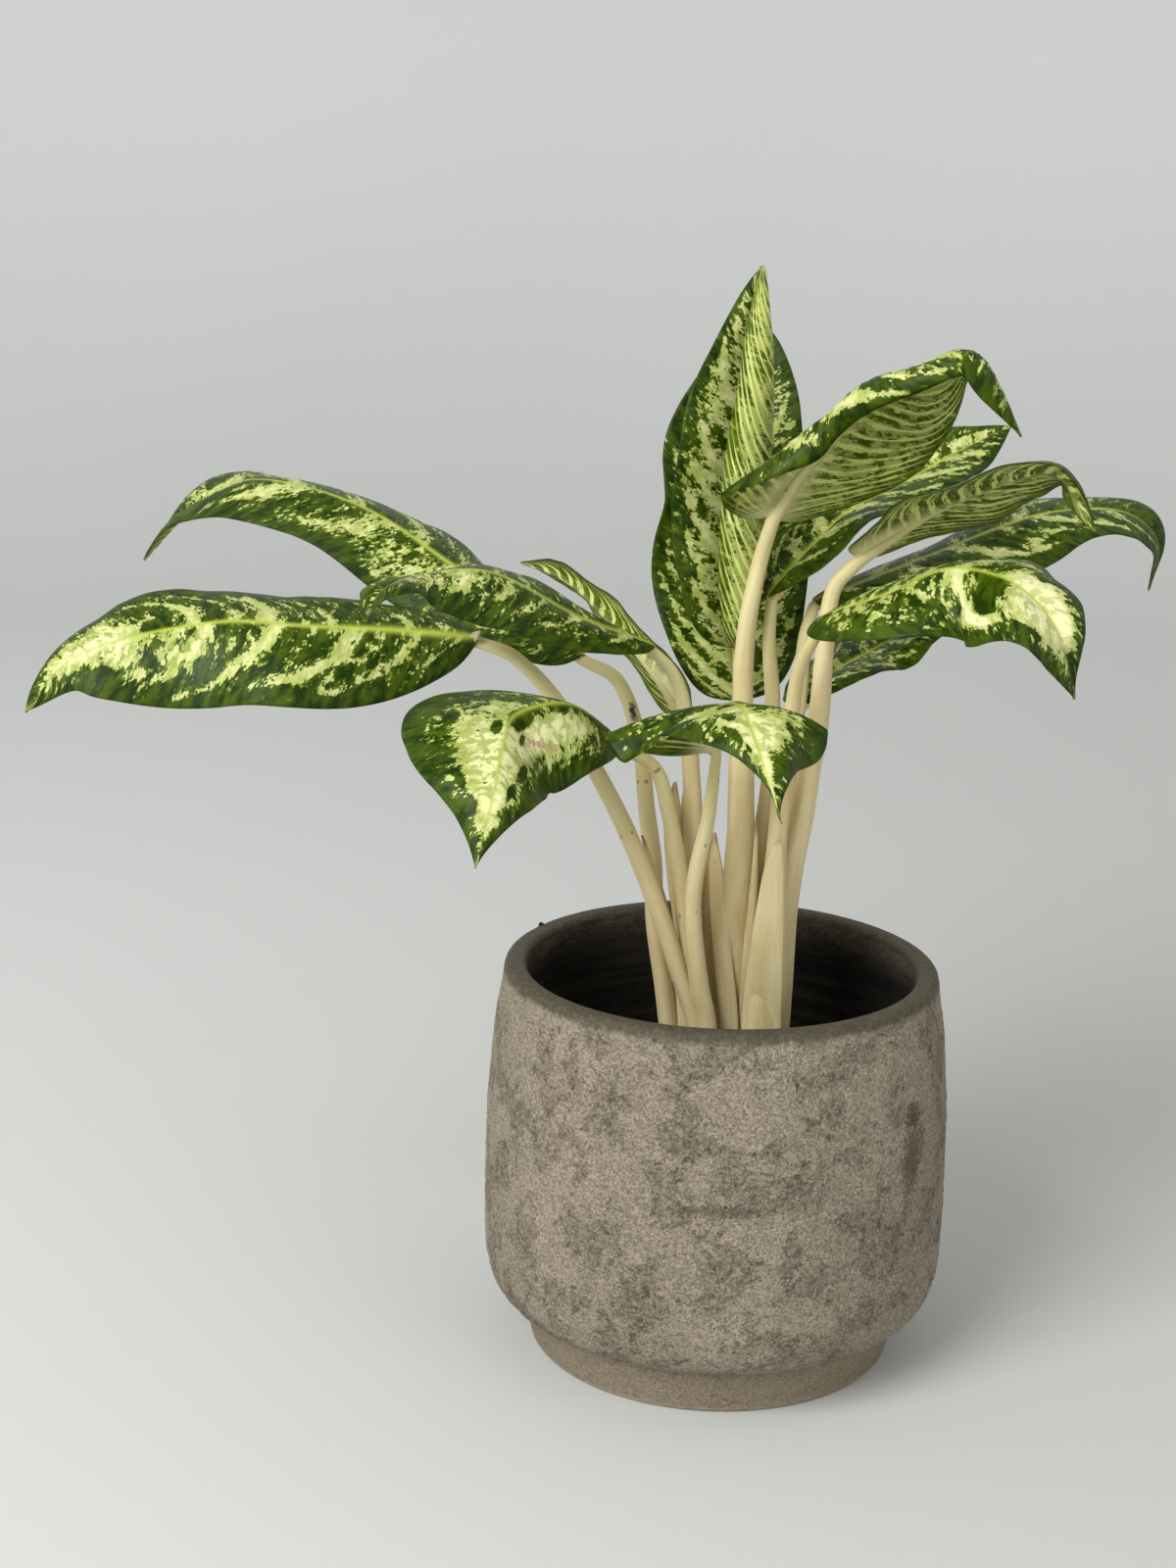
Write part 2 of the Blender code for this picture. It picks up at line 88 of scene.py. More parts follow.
@dataclass(frozen=True)
class Markings:
    """How a blade is marked: its bias to cream, and rows of hundredths for what stands out.

    Left and right hold the cream feathers of each half: where the side vein that a feather follows
    leaves the midrib, its width, its strength and its reach towards the margin. Patches hold their
    place across (-100 to 100) and along, their size both ways, their strength (cream above nought,
    green below) and how milky they are. The back is how much paler the underside is.
    """

    seed: float
    cream: float = 0.0
    back: float = 0.0
    stripes: float = 8.0
    stripe_depth: float = 0.0
    left: tuple = ()
    right: tuple = ()
    patches: tuple = ()


@dataclass(frozen=True)
class Leaf:
    """One leaf: its petiole's route, its midrib with the turn of each half, and its markings."""

    name: str
    half: tuple
    petiole: tuple
    rib: tuple
    markings: Markings
    widest: tuple = (0.45, 0.45)
    taper: tuple = (0.85, 0.85)
    roll: tuple = ((0.0,), (0.0,))
    roll_sharpness: tuple = (1, 1)
    sweep: tuple = ((-6, -2, 2, 3, 2, 0), (-6, -2, 2, 3, 2, 0))
    turned_from: TurnedFrom = TurnedFrom.FRONT_VIEW
    waves: float = 3.0
    wave_height: float = 1.2
    petiole_radii: tuple = (3.4, 2.2)
    sheath: tuple = (4.4, 170.0)


@dataclass(frozen=True)
class Shoot:
    """One rooted shoot: where its cane stands, and its leaves."""

    name: str
    foot: tuple
    leaves: tuple


LEAVES = {leaf.name: leaf for leaf in (
    Leaf(
        "arched_back", half=(24, 26), widest=(0.41, 0.52), taper=(0.83, 0.89), wave_height=1.6,
        petiole=((-14, 1), (-19, 0, 125), (-23, 1, 149), (-24, 2, 169), (-27, 3, 188),
                 (-30, 5, 210), (-38, 6, 231)),
        rib=((-49, 6, 240, -142, 101), (-93, 19, 265, -148, 85), (-130, 35, 284, -134, 92),
             (-169, 43, 291, -122, 100), (-194, 54, 278, -96, 65), (-212, 58, 259, -67, 111)),
        sweep=((-7, 0, 2, 5, 8, 3), (-9, 1, 3, 2, 4, -3)),
        markings=Markings(
            3.1, cream=-0.12, stripes=7, stripe_depth=0.08,
            left=((10, 2, 40, 70), (29, 3, 35, 80), (43, 3.5, 60, 85), (62, 3, 70, 70),
                  (76, 2.5, 40, 50)),
            right=((12, 1.8, 50, 90), (26, 1.6, 40, 90), (36, 2, 50, 90), (50, 1.6, 40, 90),
                   (62, 2, 50, 90)),
            patches=((15, 80, 50, 10, 45, 40), (-45, 78, 25, 5, -40, 0), (-50, 36, 40, 6, 15, 0),
                     (35, 80, 20, 3, -60, 0)))),
    Leaf(
        "hooked", half=(21.7, 18.6), widest=(0.51, 0.59), taper=(0.85, 0.76),
        petiole=((-11, 1), (-12, 1, 153), (-11, 1, 180), (-13, 0, 208), (-16, -4, 228),
                 (-20, -7, 238)),
        rib=((-25, -11, 247, -109, 99), (-48, -29, 258, -102, 90), (-76, -46, 275, -129, 104),
             (-97, -57, 275, -121, 112), (-107, -69, 271, -115, 64), (-110, -75, 265, -128, 68)),
        sweep=((-3, -4, 4, 4, 5, 1), (-5, -3, 2, 2, 2, 1)),
        markings=Markings(
            7.7, cream=-0.14, stripes=7, stripe_depth=0.06,
            left=((10, 2.5, 55, 80), (20, 2, 45, 70), (29, 2.2, 50, 85), (40, 2, 30, 50),
                  (50, 2.5, 45, 60), (64, 3, 50, 60)),
            right=((8, 2, 40, 60), (25, 2, 40, 60), (45, 2.5, 40, 60)),
            patches=((-25, 70, 35, 16, 35, 90), (-40, 17, 30, 5, 10, 80)))),
    Leaf(
        "slim_behind", half=(12, 12), widest=(0.4, 0.4), taper=(0.8, 0.8),
        petiole=((-10, 3), (-13, 6, 162), (-13, 7, 186), (-12, 7, 206)),
        rib=((-14, 6, 219, -44, 132), (-23, 14, 230, -44, 132), (-43, 28, 249, -58, 118),
             (-58, 38, 260, -54, 116), (-75, 48, 264, -54, 116)),
        markings=Markings(
            12.4, cream=-0.05, back=-0.25, stripe_depth=0.1,
            left=((30, 4, 40, 80),),
            right=((50, 5, 40, 80),))),
    Leaf(
        "long_low", half=(30, 26), widest=(0.43, 0.47), taper=(0.96, 0.7), wave_height=2.0,
        petiole=((-6, -10), (-8, -10, 117), (-14, -12, 136), (-20, -14, 154), (-27, -16, 172),
                 (-34, -17, 188), (-43, -18, 205), (-57, -19, 229), (-71, -19, 243)),
        rib=((-82, -18, 249, -178, 92), (-108, -21, 251, -168, 74), (-138, -24, 252, -138, 83),
             (-168, -23, 252, -154, 73), (-213, -28, 240, -149, 62), (-229, -33, 222, -145, 59)),
        sweep=((-4, 0, 1, 3, 5, -4), (-7, -1, 2, 3, -1, -3)),
        markings=Markings(
            21.9, cream=-0.15,
            left=((3.5, 0.9, 50, 70), (12.5, 2, 62, 90), (19.5, 0.6, 20, 60), (25.5, 2.4, 75, 90),
                  (33.5, 1.2, 25, 60), (41.5, 2.3, 80, 93), (48.5, 0.8, 30, 60),
                  (56.5, 2.2, 72, 80), (63, 3, 40, 75), (72, 5, 55, 60), (83, 6, 50, 45)),
            right=((6, 2, 20, 50), (14, 1.5, 30, 60), (30, 1.8, 40, 70), (36, 1, 30, 70),
                   (43, 2.8, 75, 70), (50, 1, 50, 80), (58.5, 1.8, 70, 75), (75, 5, 50, 60),
                   (86, 5, 40, 50)),
            patches=((-20, 62, 30, 5, 20, 90), (0, 83, 20, 13, 50, 20), (-30, 76, 22, 5, 30, 100),
                     (30, 80, 30, 8, 30, 100), (-42, 68.5, 10, 2, -80, 0),
                     (-20, 66.5, 7, 1.3, -70, 0), (-55, 79, 15, 3, -70, 0), (10, 67, 12, 3, -70, 0),
                     (-50, 62, 10, 1.2, -50, 0)))),
    Leaf(
        "broad_drooping", half=(27, 33), widest=(0.45, 0.53), taper=(1.41, 1.39),
        turned_from=TurnedFrom.LEVEL,
        petiole=((-4, -9), (-8, -10, 122), (-11, -11, 146), (-15, -11, 170), (-19, -11, 190),
                 (-24, -13, 206)),
        rib=((-34, -22, 217, -53, 182), (-50, -50, 235, -63, 189), (-65, -69, 235, -67, 178),
             (-67, -88, 229, -54, 189), (-68, -105, 218, -49, 181), (-72, -116, 199, -52, 184)),
        sweep=((-7, -2, 0, 1, 2, -2), (-7, -6, -3, -2, 0, 0)),
        markings=Markings(
            33.3, cream=-0.22, stripe_depth=0.05,
            left=((10, 2, 30, 70), (25, 2, 25, 80)),
            right=((20, 3, 30, 60), (35, 3, 35, 70), (45, 2, 30, 85)),
            patches=((0, 70, 52, 26, 100, 75), (-36, 42, 24, 20, 95, 50), (-66, 45, 5, 25, 45, 0),
                     (-75, 30, 3, 16, 30, 0), (-35, 79, 8, 3, -160, 0), (-42, 70, 7, 4, -150, 0),
                     (10, 58, 5, 3, -150, 0), (-25, 56, 5, 4, -140, 0), (-2, 50, 6, 6, -150, 0),
                     (-14, 50, 6, 5, -140, 0), (38, 86, 8, 2.5, -120, 0),
                     (50, 78, 6, 3, -120, 0)))),
    Leaf(
        "bent_forward", half=(26.6, 39.1), widest=(0.53, 0.3), taper=(2.33, 3.4),
        roll=((-71.0, -40.0, -26.0, -65.0, 28.0), (0.0,)), petiole_radii=(3.0, 1.9),
        sheath=(3.4, 150.0), turned_from=TurnedFrom.LEVEL,
        petiole=((-3, -12), (-4, -14, 117), (-7, -16, 132), (-10, -20, 159), (-9, -23, 175),
                 (-6, -26, 192)),
        rib=((-5, -34, 217, 9, 214), (-3, -44, 234, -9, 187), (1, -56, 238, -13, 210),
             (5, -74, 238, 1, 193), (16, -108, 214, 9, 237)),
        sweep=((-7, -9, 1, 4, -2, -4), (-13, -7, -2, 4, 0, 2)),
        markings=Markings(
            41.5, cream=-0.1, stripe_depth=0.06,
            left=((25, 3, 30, 80), (50, 4, 30, 70)),
            right=((12, 2, 40, 80), (30, 2, 40, 80)),
            patches=((12, 62, 42, 17, 90, 80), (0, 83, 16, 14, 90, 10), (50, 42, 30, 10, 40, 50),
                     (-30, 66, 16, 8, 40, 40), (42, 63, 12, 4, -120, 0), (25, 55, 10, 3, -110, 0),
                     (33, 70, 7, 2, -110, 0), (-15, 50, 12, 5, -80, 0)))),
    Leaf(
        "young_furled", half=(30, 28), widest=(0.38, 0.38), roll=((10.0,), (205.0,)),
        roll_sharpness=(1, 0.6),
        petiole=((3, 5), (4, 5, 164), (3, 5, 205), (3, 6, 225)),
        rib=((3, 8, 243, -150, 10), (4, 12, 282, -150, 10), (5, 13, 307, -154, 10),
             (6, 11, 332, -160, 10), (5, 8, 368, -160, 10)),
        markings=Markings(
            52.2, cream=0.11, back=0.06,
            left=((-20, 2, 40, 95), (-10, 2, 40, 95), (0, 2.5, 50, 95), (11, 2.2, 45, 90),
                  (22, 2.8, 55, 95), (33, 2.4, 50, 90), (43, 2.6, 55, 95), (54, 2, 40, 90),
                  (63, 3, 55, 90), (74, 2, 45, 80)),
            right=((-10, 2, 50, 95), (0, 2, 40, 90), (10, 2.5, 50, 95), (25, 2, 50, 95),
                   (40, 2.5, 50, 95), (55, 2, 50, 95)),
            patches=((0, 90, 40, 8, 35, 20),))),
    Leaf(
        "broad_upright", half=(28, 28), taper=(0.6, 0.6), wave_height=1.8,
        petiole=((3, 7), (3, 11, 161), (4, 15, 202)),
        rib=((3, 18, 223, -158, 0), (-2, 33, 259, -158, 10), (-3, 42, 281, -142, 5),
             (-2, 48, 306, -152, -20), (6, 54, 348, -152, -34)),
        markings=Markings(
            61.8, cream=-0.03,
            left=((-20, 1.6, 50, 100), (-10, 2, 60, 100), (0, 2.6, 75, 95), (10, 2.2, 60, 95),
                  (20, 2, 55, 95), (31, 2.4, 60, 95), (42, 2, 50, 90), (53, 2.4, 55, 90),
                  (66, 2.4, 50, 90)),
            right=((-10, 2, 50, 95), (2, 2.4, 60, 95), (14, 2, 50, 90), (26, 2.4, 60, 95),
                   (40, 2, 50, 90), (52, 2.4, 60, 90), (65, 2.2, 50, 90)))),
    Leaf(
        "rolled_top", half=(26.8, 29.6), widest=(0.37, 0.45), taper=(1.19, 0.8),
        roll=((0.0,), (-11.0, -9.0, -96.0, -191.0, -158.0, -169.0, -48.0)), roll_sharpness=(1, 3),
        petiole_radii=(3.6, 2.5), sheath=(6.0, 215.0),
        petiole=((5, 2), (5, -2, 140), (5, -5, 165), (5, -8, 200), (4, -10, 230), (4, -11, 246),
                 (5, -12, 259), (8, -12, 276)),
        rib=((11, -12, 289, 48, -223), (20, -11, 305, 11, -144), (40, -19, 327, 16, -115),
             (57, -34, 335, 64, -126), (69, -39, 342, 72, -111), (85, -46, 321, 53, -77)),
        sweep=((-5, 3, 3, -2, 3, -2), (-22, -20, -14, 1, 4, -6)),
        markings=Markings(
            77.0, cream=-0.02, back=0.1,
            left=((-20, 1.4, 40, 100), (-10, 1.4, 40, 100), (0, 1.6, 45, 95), (9, 1.4, 40, 95),
                  (18, 1.8, 45, 95), (28, 1.4, 40, 95), (37, 1.8, 45, 95), (47, 1.4, 40, 90),
                  (60, 3, 30, 70)),
            right=((-2, 2, 30, 80), (8, 1.6, 30, 80), (20, 3, 65, 95), (38, 3.5, 75, 100),
                   (50, 2.5, 60, 95), (62, 3, 50, 80)),
            patches=((0, 66, 50, 8, 70, 20), (-75, 77, 22, 8, 80, 0), (-30, 90, 50, 7, -80, 0),
                     (45, 30, 12, 4, -70, 0), (60, 58, 14, 3, -70, 0),
                     (-25, 74, 12, 1.5, -80, 0)))),
    Leaf(
        "top_behind", half=(23, 23),
        petiole=((7, 4), (11, 3, 170), (14, 4, 201), (14, 6, 226), (12, 8, 247)),
        rib=((11, 10, 261, 114, -74), (26, 18, 278, 114, -74), (38, 24, 289, 110, -76),
             (55, 32, 297, 108, -70), (73, 40, 307, 120, -62), (92, 48, 316, 120, -62)),
        markings=Markings(
            83.6, cream=-0.1,
            left=((5, 2, 50, 90), (16, 2.4, 55, 90), (27, 2.2, 60, 90), (40, 2, 50, 80),
                  (55, 2.2, 50, 80), (72, 2, 60, 70)),
            right=((10, 2, 50, 80), (24, 2.6, 60, 85), (37, 3, 60, 85), (49, 2, 50, 85),
                   (62, 2.2, 75, 85), (74, 1.6, 60, 50)),
            patches=((-15, 87, 20, 8, 50, 0),))),
    Leaf(
        "seen_from_below", half=(20, 20), petiole_radii=(4.4, 2.5), sheath=(6.5, 190.0),
        petiole=((18, -3), (19, -3, 124), (20, -5, 153), (22, -6, 171), (25, -7, 189),
                 (27, -8, 207), (29, -9, 222), (30, -10, 247), (32, -10, 267)),
        rib=((38, -10, 278, 52, -118), (58, -20, 293, 52, -118), (71, -28, 301, 44, -112),
             (83, -34, 307, 58, -110), (97, -40, 310, 68, -100), (109, -46, 293, 68, -100)),
        markings=Markings(
            95.1, cream=-0.06,
            left=((5, 3, 40, 80), (16, 2, 40, 90), (26, 1.6, 40, 90), (36, 2, 45, 90),
                  (47, 2, 40, 90), (60, 3, 50, 80)),
            right=((0, 1.4, 40, 90), (8, 1.4, 40, 90), (16, 1.4, 40, 90), (25, 1.6, 45, 90),
                   (35, 1.4, 40, 90), (46, 1.6, 40, 90), (60, 2, 40, 80), (75, 2, 40, 60)))),
    Leaf(
        "far_right", half=(23, 23.7), widest=(0.43, 0.43), taper=(0.89, 0.85),
        petiole=((17, 0), (18, 1, 147), (20, 2, 181), (21, 3, 210), (23, 5, 230), (24, 10, 247)),
        rib=((26, 16, 259, 82, -50), (66, 29, 274, 86, -66), (84, 35, 281, 90, -51),
             (105, 44, 287, 96, -68), (131, 49, 288, 97, -67), (145, 54, 278, 118, -73),
             (145, 59, 259, 98, -70)),
        sweep=((-7, -1, 3, 4, 4, 1), (-8, -1, 5, 4, 3, 2)),
        markings=Markings(
            104.9, cream=-0.22,
            left=((6, 2, 50, 80), (16, 2.2, 65, 85), (25, 1.2, 55, 80), (36, 2, 40, 80),
                  (52, 3, 50, 70), (66, 2, 50, 70)),
            right=((8, 2, 50, 80), (20, 2, 50, 80), (34, 2.6, 70, 85), (47, 1.2, 50, 90),
                   (56, 2.6, 80, 85), (70, 2, 60, 80)),
            patches=((60, 50, 6, 6, 50, 0),))),
    Leaf(
        "front_right", half=(23.6, 25.2), widest=(0.46, 0.48), taper=(1.4, 0.9),
        sheath=(6.8, 185.0),
        petiole=((16, -5), (16, -9, 147), (17, -14, 179), (18, -18, 207), (20, -22, 229),
                 (22, -27, 245)),
        rib=((27, -33, 262, 79, -74), (47, -46, 272, 85, -73), (62, -52, 281, 76, -39),
             (71, -55, 282, 87, -36), (84, -66, 279, 111, -47), (95, -74, 268, 137, -61),
             (102, -77, 247, 140, -56)),
        sweep=((-23, -9, -4, -2, 2, 4), (-27, -9, 4, 13, 9, 1)),
        markings=Markings(
            113.7, cream=-0.03,
            left=((10, 1.2, 50, 90), (17, 1.2, 50, 90), (25, 2, 50, 80), (36, 1.6, 50, 80),
                  (47, 2, 55, 80), (62, 4, 60, 80)),
            right=((5.5, 1, 60, 60), (10, 0.8, 60, 60), (14.5, 0.9, 60, 60), (22.5, 2, 60, 35),
                   (31, 1.2, 50, 50), (44, 2.8, 85, 90)),
            patches=((22, 76, 50, 13, 95, 50), (-22, 76, 32, 13, 90, 20), (72, 56, 8, 10, 70, 0),
                     (30, 59, 26, 4, -90, 0), (62, 60, 6, 3, -80, 0), (-20, 90, 20, 4, -70, 0),
                     (72, 74, 5, 5, -90, 0), (-50, 66, 12, 2, -80, 0)))),
    Leaf(
        "low_back", half=(21, 21), widest=(0.4, 0.4),
        petiole=((18, 1), (17, 7, 163), (19, 10, 190), (20, 11, 214)),
        rib=((22, 12, 224, 102, -82), (33, 19, 233, 102, -82), (46, 26, 240, 102, -72),
             (61, 33, 247, 102, -78), (80, 42, 252, 102, -78)),
        markings=Markings(
            127.3, cream=-0.05,
            left=((5, 2, 40, 90), (18, 2, 40, 90), (30, 2, 40, 90), (45, 2, 40, 90)),
            right=((0, 2, 40, 90), (12, 2, 40, 90), (25, 2, 40, 90), (38, 2, 40, 90),
                   (55, 2, 40, 90)))),
)}

SHOOTS = (
    Shoot("left", (-12, 1), ("arched_back", "hooked", "slim_behind")),
    Shoot("front", (-4, -10), ("long_low", "broad_drooping", "bent_forward")),
    Shoot("centre", (4, 4), ("young_furled", "broad_upright", "rolled_top", "top_behind")),
    Shoot("right", (16, -2), ("seen_from_below", "far_right", "front_right", "low_back")),
)


# Curves

def unit(vector: np.ndarray) -> np.ndarray:
    """The vector, or each row of them, at length 1."""
    return vector / np.linalg.norm(vector, axis=-1, keepdims=True)


def lengths(points: np.ndarray) -> np.ndarray:
    """The lengths of the steps from point to point."""
    return np.linalg.norm(np.diff(points[:, :3], axis=0), axis=1)


def run(points: np.ndarray) -> np.ndarray:
    """How far along the line through the points each of them lies."""
    return np.concatenate([[0.0], np.cumsum(lengths(points))])


def along(points: np.ndarray, at: np.ndarray) -> np.ndarray:
    """Reads a smooth curve through points.

    Args:
        points: Rows of x, y, z and any further values.
        at: Places along the curve by chord length, from 0 to 1.

    Returns:
        One row of values for each place.
    """
    knot = run(points) / lengths(points).sum()
    last = len(points) - 1
    before = np.maximum(np.arange(last + 1) - 1, 0)
    after = np.minimum(np.arange(last + 1) + 1, last)
    slopes = (points[after] - points[before]) / (knot[after] - knot[before])[:, None]
    at = np.atleast_1d(at)
    i = np.clip(np.searchsorted(knot, at, side="right") - 1, 0, last - 1)
    gap = (knot[i + 1] - knot[i])[:, None]
    s = (at - knot[i])[:, None] / gap
    return ((2 * s**3 - 3 * s**2 + 1) * points[i] + (s**3 - 2 * s**2 + s) * gap * slopes[i]
            + (3 * s**2 - 2 * s**3) * points[i + 1] + (s**3 - s**2) * gap * slopes[i + 1])


def smooth_step(value: np.ndarray, low: float, high: float) -> np.ndarray:
    """0 below low, 1 above high and an even curve between them."""
    share = np.clip((value - low) / (high - low), 0.0, 1.0)
    return share * share * (3 - 2 * share)


# Blender helpers

def deselect() -> None:
    """Leaves nothing selected."""
    for item in list(bpy.context.selected_objects):
        item.select_set(False)


def take(item: bpy.types.Object) -> None:
    """Makes one object the only selected and the active one."""
    deselect()
    item.select_set(True)
    bpy.context.view_layer.objects.active = item


def added(name: str) -> bpy.types.Object:
    """Names the object that an operator has just added."""
    item = bpy.context.object
    item.name = item.data.name = name
    return item


def places(item: bpy.types.Object) -> np.ndarray:
    """The places of a mesh's vertices, one row each."""
    flat = np.empty(len(item.data.vertices) * 3)
    item.data.vertices.foreach_get("co", flat)
    return flat.reshape(-1, 3)


def set_places(item: bpy.types.Object, points: np.ndarray) -> None:
    """Puts a mesh's vertices at the given places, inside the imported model's box."""
    low, high = np.array(CAD_BOX[0]) + BOX_MARGIN, np.array(CAD_BOX[1]) - BOX_MARGIN
    item.data.vertices.foreach_set("co", np.clip(points, low, high).ravel())
    item.data.update()


def store(item: bpy.types.Object, name: str, values: np.ndarray | float) -> None:
    """Keeps a number for each vertex, for the finishes to read."""
    layer = item.data.attributes.new(name, "FLOAT", "POINT")
    layer.data.foreach_set("value", np.full(len(item.data.vertices), values, float))


def read(item: bpy.types.Object, name: str) -> np.ndarray:
    """The numbers kept on the vertices under a name."""
    values = np.empty(len(item.data.vertices))
    item.data.attributes[name].data.foreach_get("value", values)
    return values


def weigh(item: bpy.types.Object, name: str, weights: np.ndarray) -> None:
    """Gives the vertices their weights in a new group."""
    group = item.vertex_groups.new(name=name)
    for index, weight in enumerate(np.clip(weights, 0, 1)):
        group.add((index,), float(weight), "REPLACE")


def apply(item: bpy.types.Object, kind: str, **settings: object) -> None:
    """Adds a modifier with its settings, applies it and keeps the mesh inside the box."""
    take(item)
    modifier = item.modifiers.new(kind.lower(), kind)
    for name, value in settings.items():
        setattr(modifier, name, value)
    bpy.ops.object.modifier_apply(modifier=modifier.name)
    set_places(item, places(item))
    item.vertex_groups.clear()


def edit(item: bpy.types.Object, *steps: tuple[Callable, dict]) -> None:
    """Runs mesh operators on all of an object.

    Args:
        item: The object.
        steps: Pairs of an operator and its settings.
    """
    take(item)
    bpy.ops.object.mode_set(mode="EDIT")
    bpy.ops.mesh.select_all(action="SELECT")
    for operator, settings in steps:
        operator(**settings)
    bpy.ops.object.mode_set(mode="OBJECT")


def turned(name: str, count: int, rings: list, fill: str = "NOTHING",
           capped: bool = True) -> bpy.types.Object:
    """Makes a turned sheet, ring by ring.

    Args:
        name: The new object's name.
        count: Edges in each ring.
        rings: Rows of radius and height; the first ring lies level with the origin.
        fill: How the first ring is filled.
        capped: Whether the last ring is filled.

    Returns:
        The new object.
    """
    mesh = bpy.ops.mesh
    deselect()
    mesh.primitive_circle_add(vertices=count, radius=rings[0][0], fill_type=fill)
    item = added(name)
    bpy.ops.object.mode_set(mode="EDIT")
    mesh.select_mode(type="EDGE")
    mesh.select_all(action="DESELECT")
    mesh.select_non_manifold()
    for (before, z_before), (radius, z) in zip(rings, rings[1:]):
        mesh.extrude_edges_move(TRANSFORM_OT_translate={"value": (0, 0, z - z_before)})
        bpy.ops.transform.resize(value=(radius / before, radius / before, 1.0))
    if capped:
        mesh.fill()
    mesh.select_mode(type="VERT")
    bpy.ops.object.mode_set(mode="OBJECT")
    return item


def dress(item: bpy.types.Object, slot: str, stands_for: tuple[str, ...],
          *finishes: bpy.types.Material) -> None:
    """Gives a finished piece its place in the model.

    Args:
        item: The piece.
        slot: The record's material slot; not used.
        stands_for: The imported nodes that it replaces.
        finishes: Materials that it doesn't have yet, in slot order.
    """
    for finish in finishes:
        item.data.materials.append(finish)
    item.data.shade_smooth()
    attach(item, BODY)
    if stands_for:
        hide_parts(*stands_for)
    item.data.calc_loop_triangles()
    log.info("%s: %d triangles", item.name, len(item.data.loop_triangles))


def dress_stalk(item: bpy.types.Object, shoot: str, finish: bpy.types.Material,
                greening: np.ndarray | float = 0.0, dry_end: np.ndarray | float = 0.0) -> None:
    """Gives a piece of a shoot its place in the model.

    Args:
        item: The piece.
        shoot: The shoot's name.
        finish: The stalks' material.
        greening: How green each vertex is.
        dry_end: How dry and brown each vertex is.
    """
    store(item, "greening", greening)
    store(item, "dry_end", dry_end)
    dress(item, "leaf_stalk", ("stem_" + shoot,), finish)


class Grid:
    """A new flat grid mesh, worked on as rows and columns of points."""

    def __init__(self, name: str, columns: int, rows: int) -> None:
        """Adds the grid, one unit from its middle to each side.

        Args:
            name: The new object's name.
            columns: Faces across.
            rows: Faces along.
        """
        deselect()
        bpy.ops.mesh.primitive_grid_add(x_subdivisions=columns, y_subdivisions=rows, size=2.0)
        self.item = added(name)
        flat = places(self.item)
        self.order = np.lexsort((flat[:, 0], flat[:, 1].round(5)))
        points = flat[self.order].reshape(rows + 1, columns + 1, 3)
        self.across, self.ahead = points[..., 0], points[..., 1]

    def by_vertex(self, values: np.ndarray) -> np.ndarray:
        """Values of the grid's rows and columns, in the order of the mesh's vertices."""
        rows = values.reshape(len(self.order), -1)
        result = np.empty_like(rows)
        result[self.order] = rows
        return result

    def put(self, points: np.ndarray) -> None:
        """Moves the grid's points to places in millimetres."""
        set_places(self.item, self.by_vertex(points) * MM)

    def keep(self, **values: np.ndarray) -> None:
        """Keeps numbers for each point under their names."""
        for name, numbers in values.items():
            store(self.item, name, self.by_vertex(numbers).ravel())


# Node graphs

class Value:
    """A node's output, on which arithmetic adds further nodes."""

    def __init__(self, graph: "Graph", socket: bpy.types.NodeSocket) -> None:
        """Holds the output with the graph that it belongs to."""
        self.graph, self.socket = graph, socket

    def __add__(self, other: object) -> "Value":
        """The sum."""
        return self.graph.math("ADD", self, other)

    def __sub__(self, other: object) -> "Value":
        """The difference."""
        return self.graph.math("SUBTRACT", self, other)

    def __mul__(self, other: object) -> "Value":
        """The product."""
        return self.graph.math("MULTIPLY", self, other)

    def __truediv__(self, other: object) -> "Value":
        """The quotient."""
        return self.graph.math("DIVIDE", self, other)


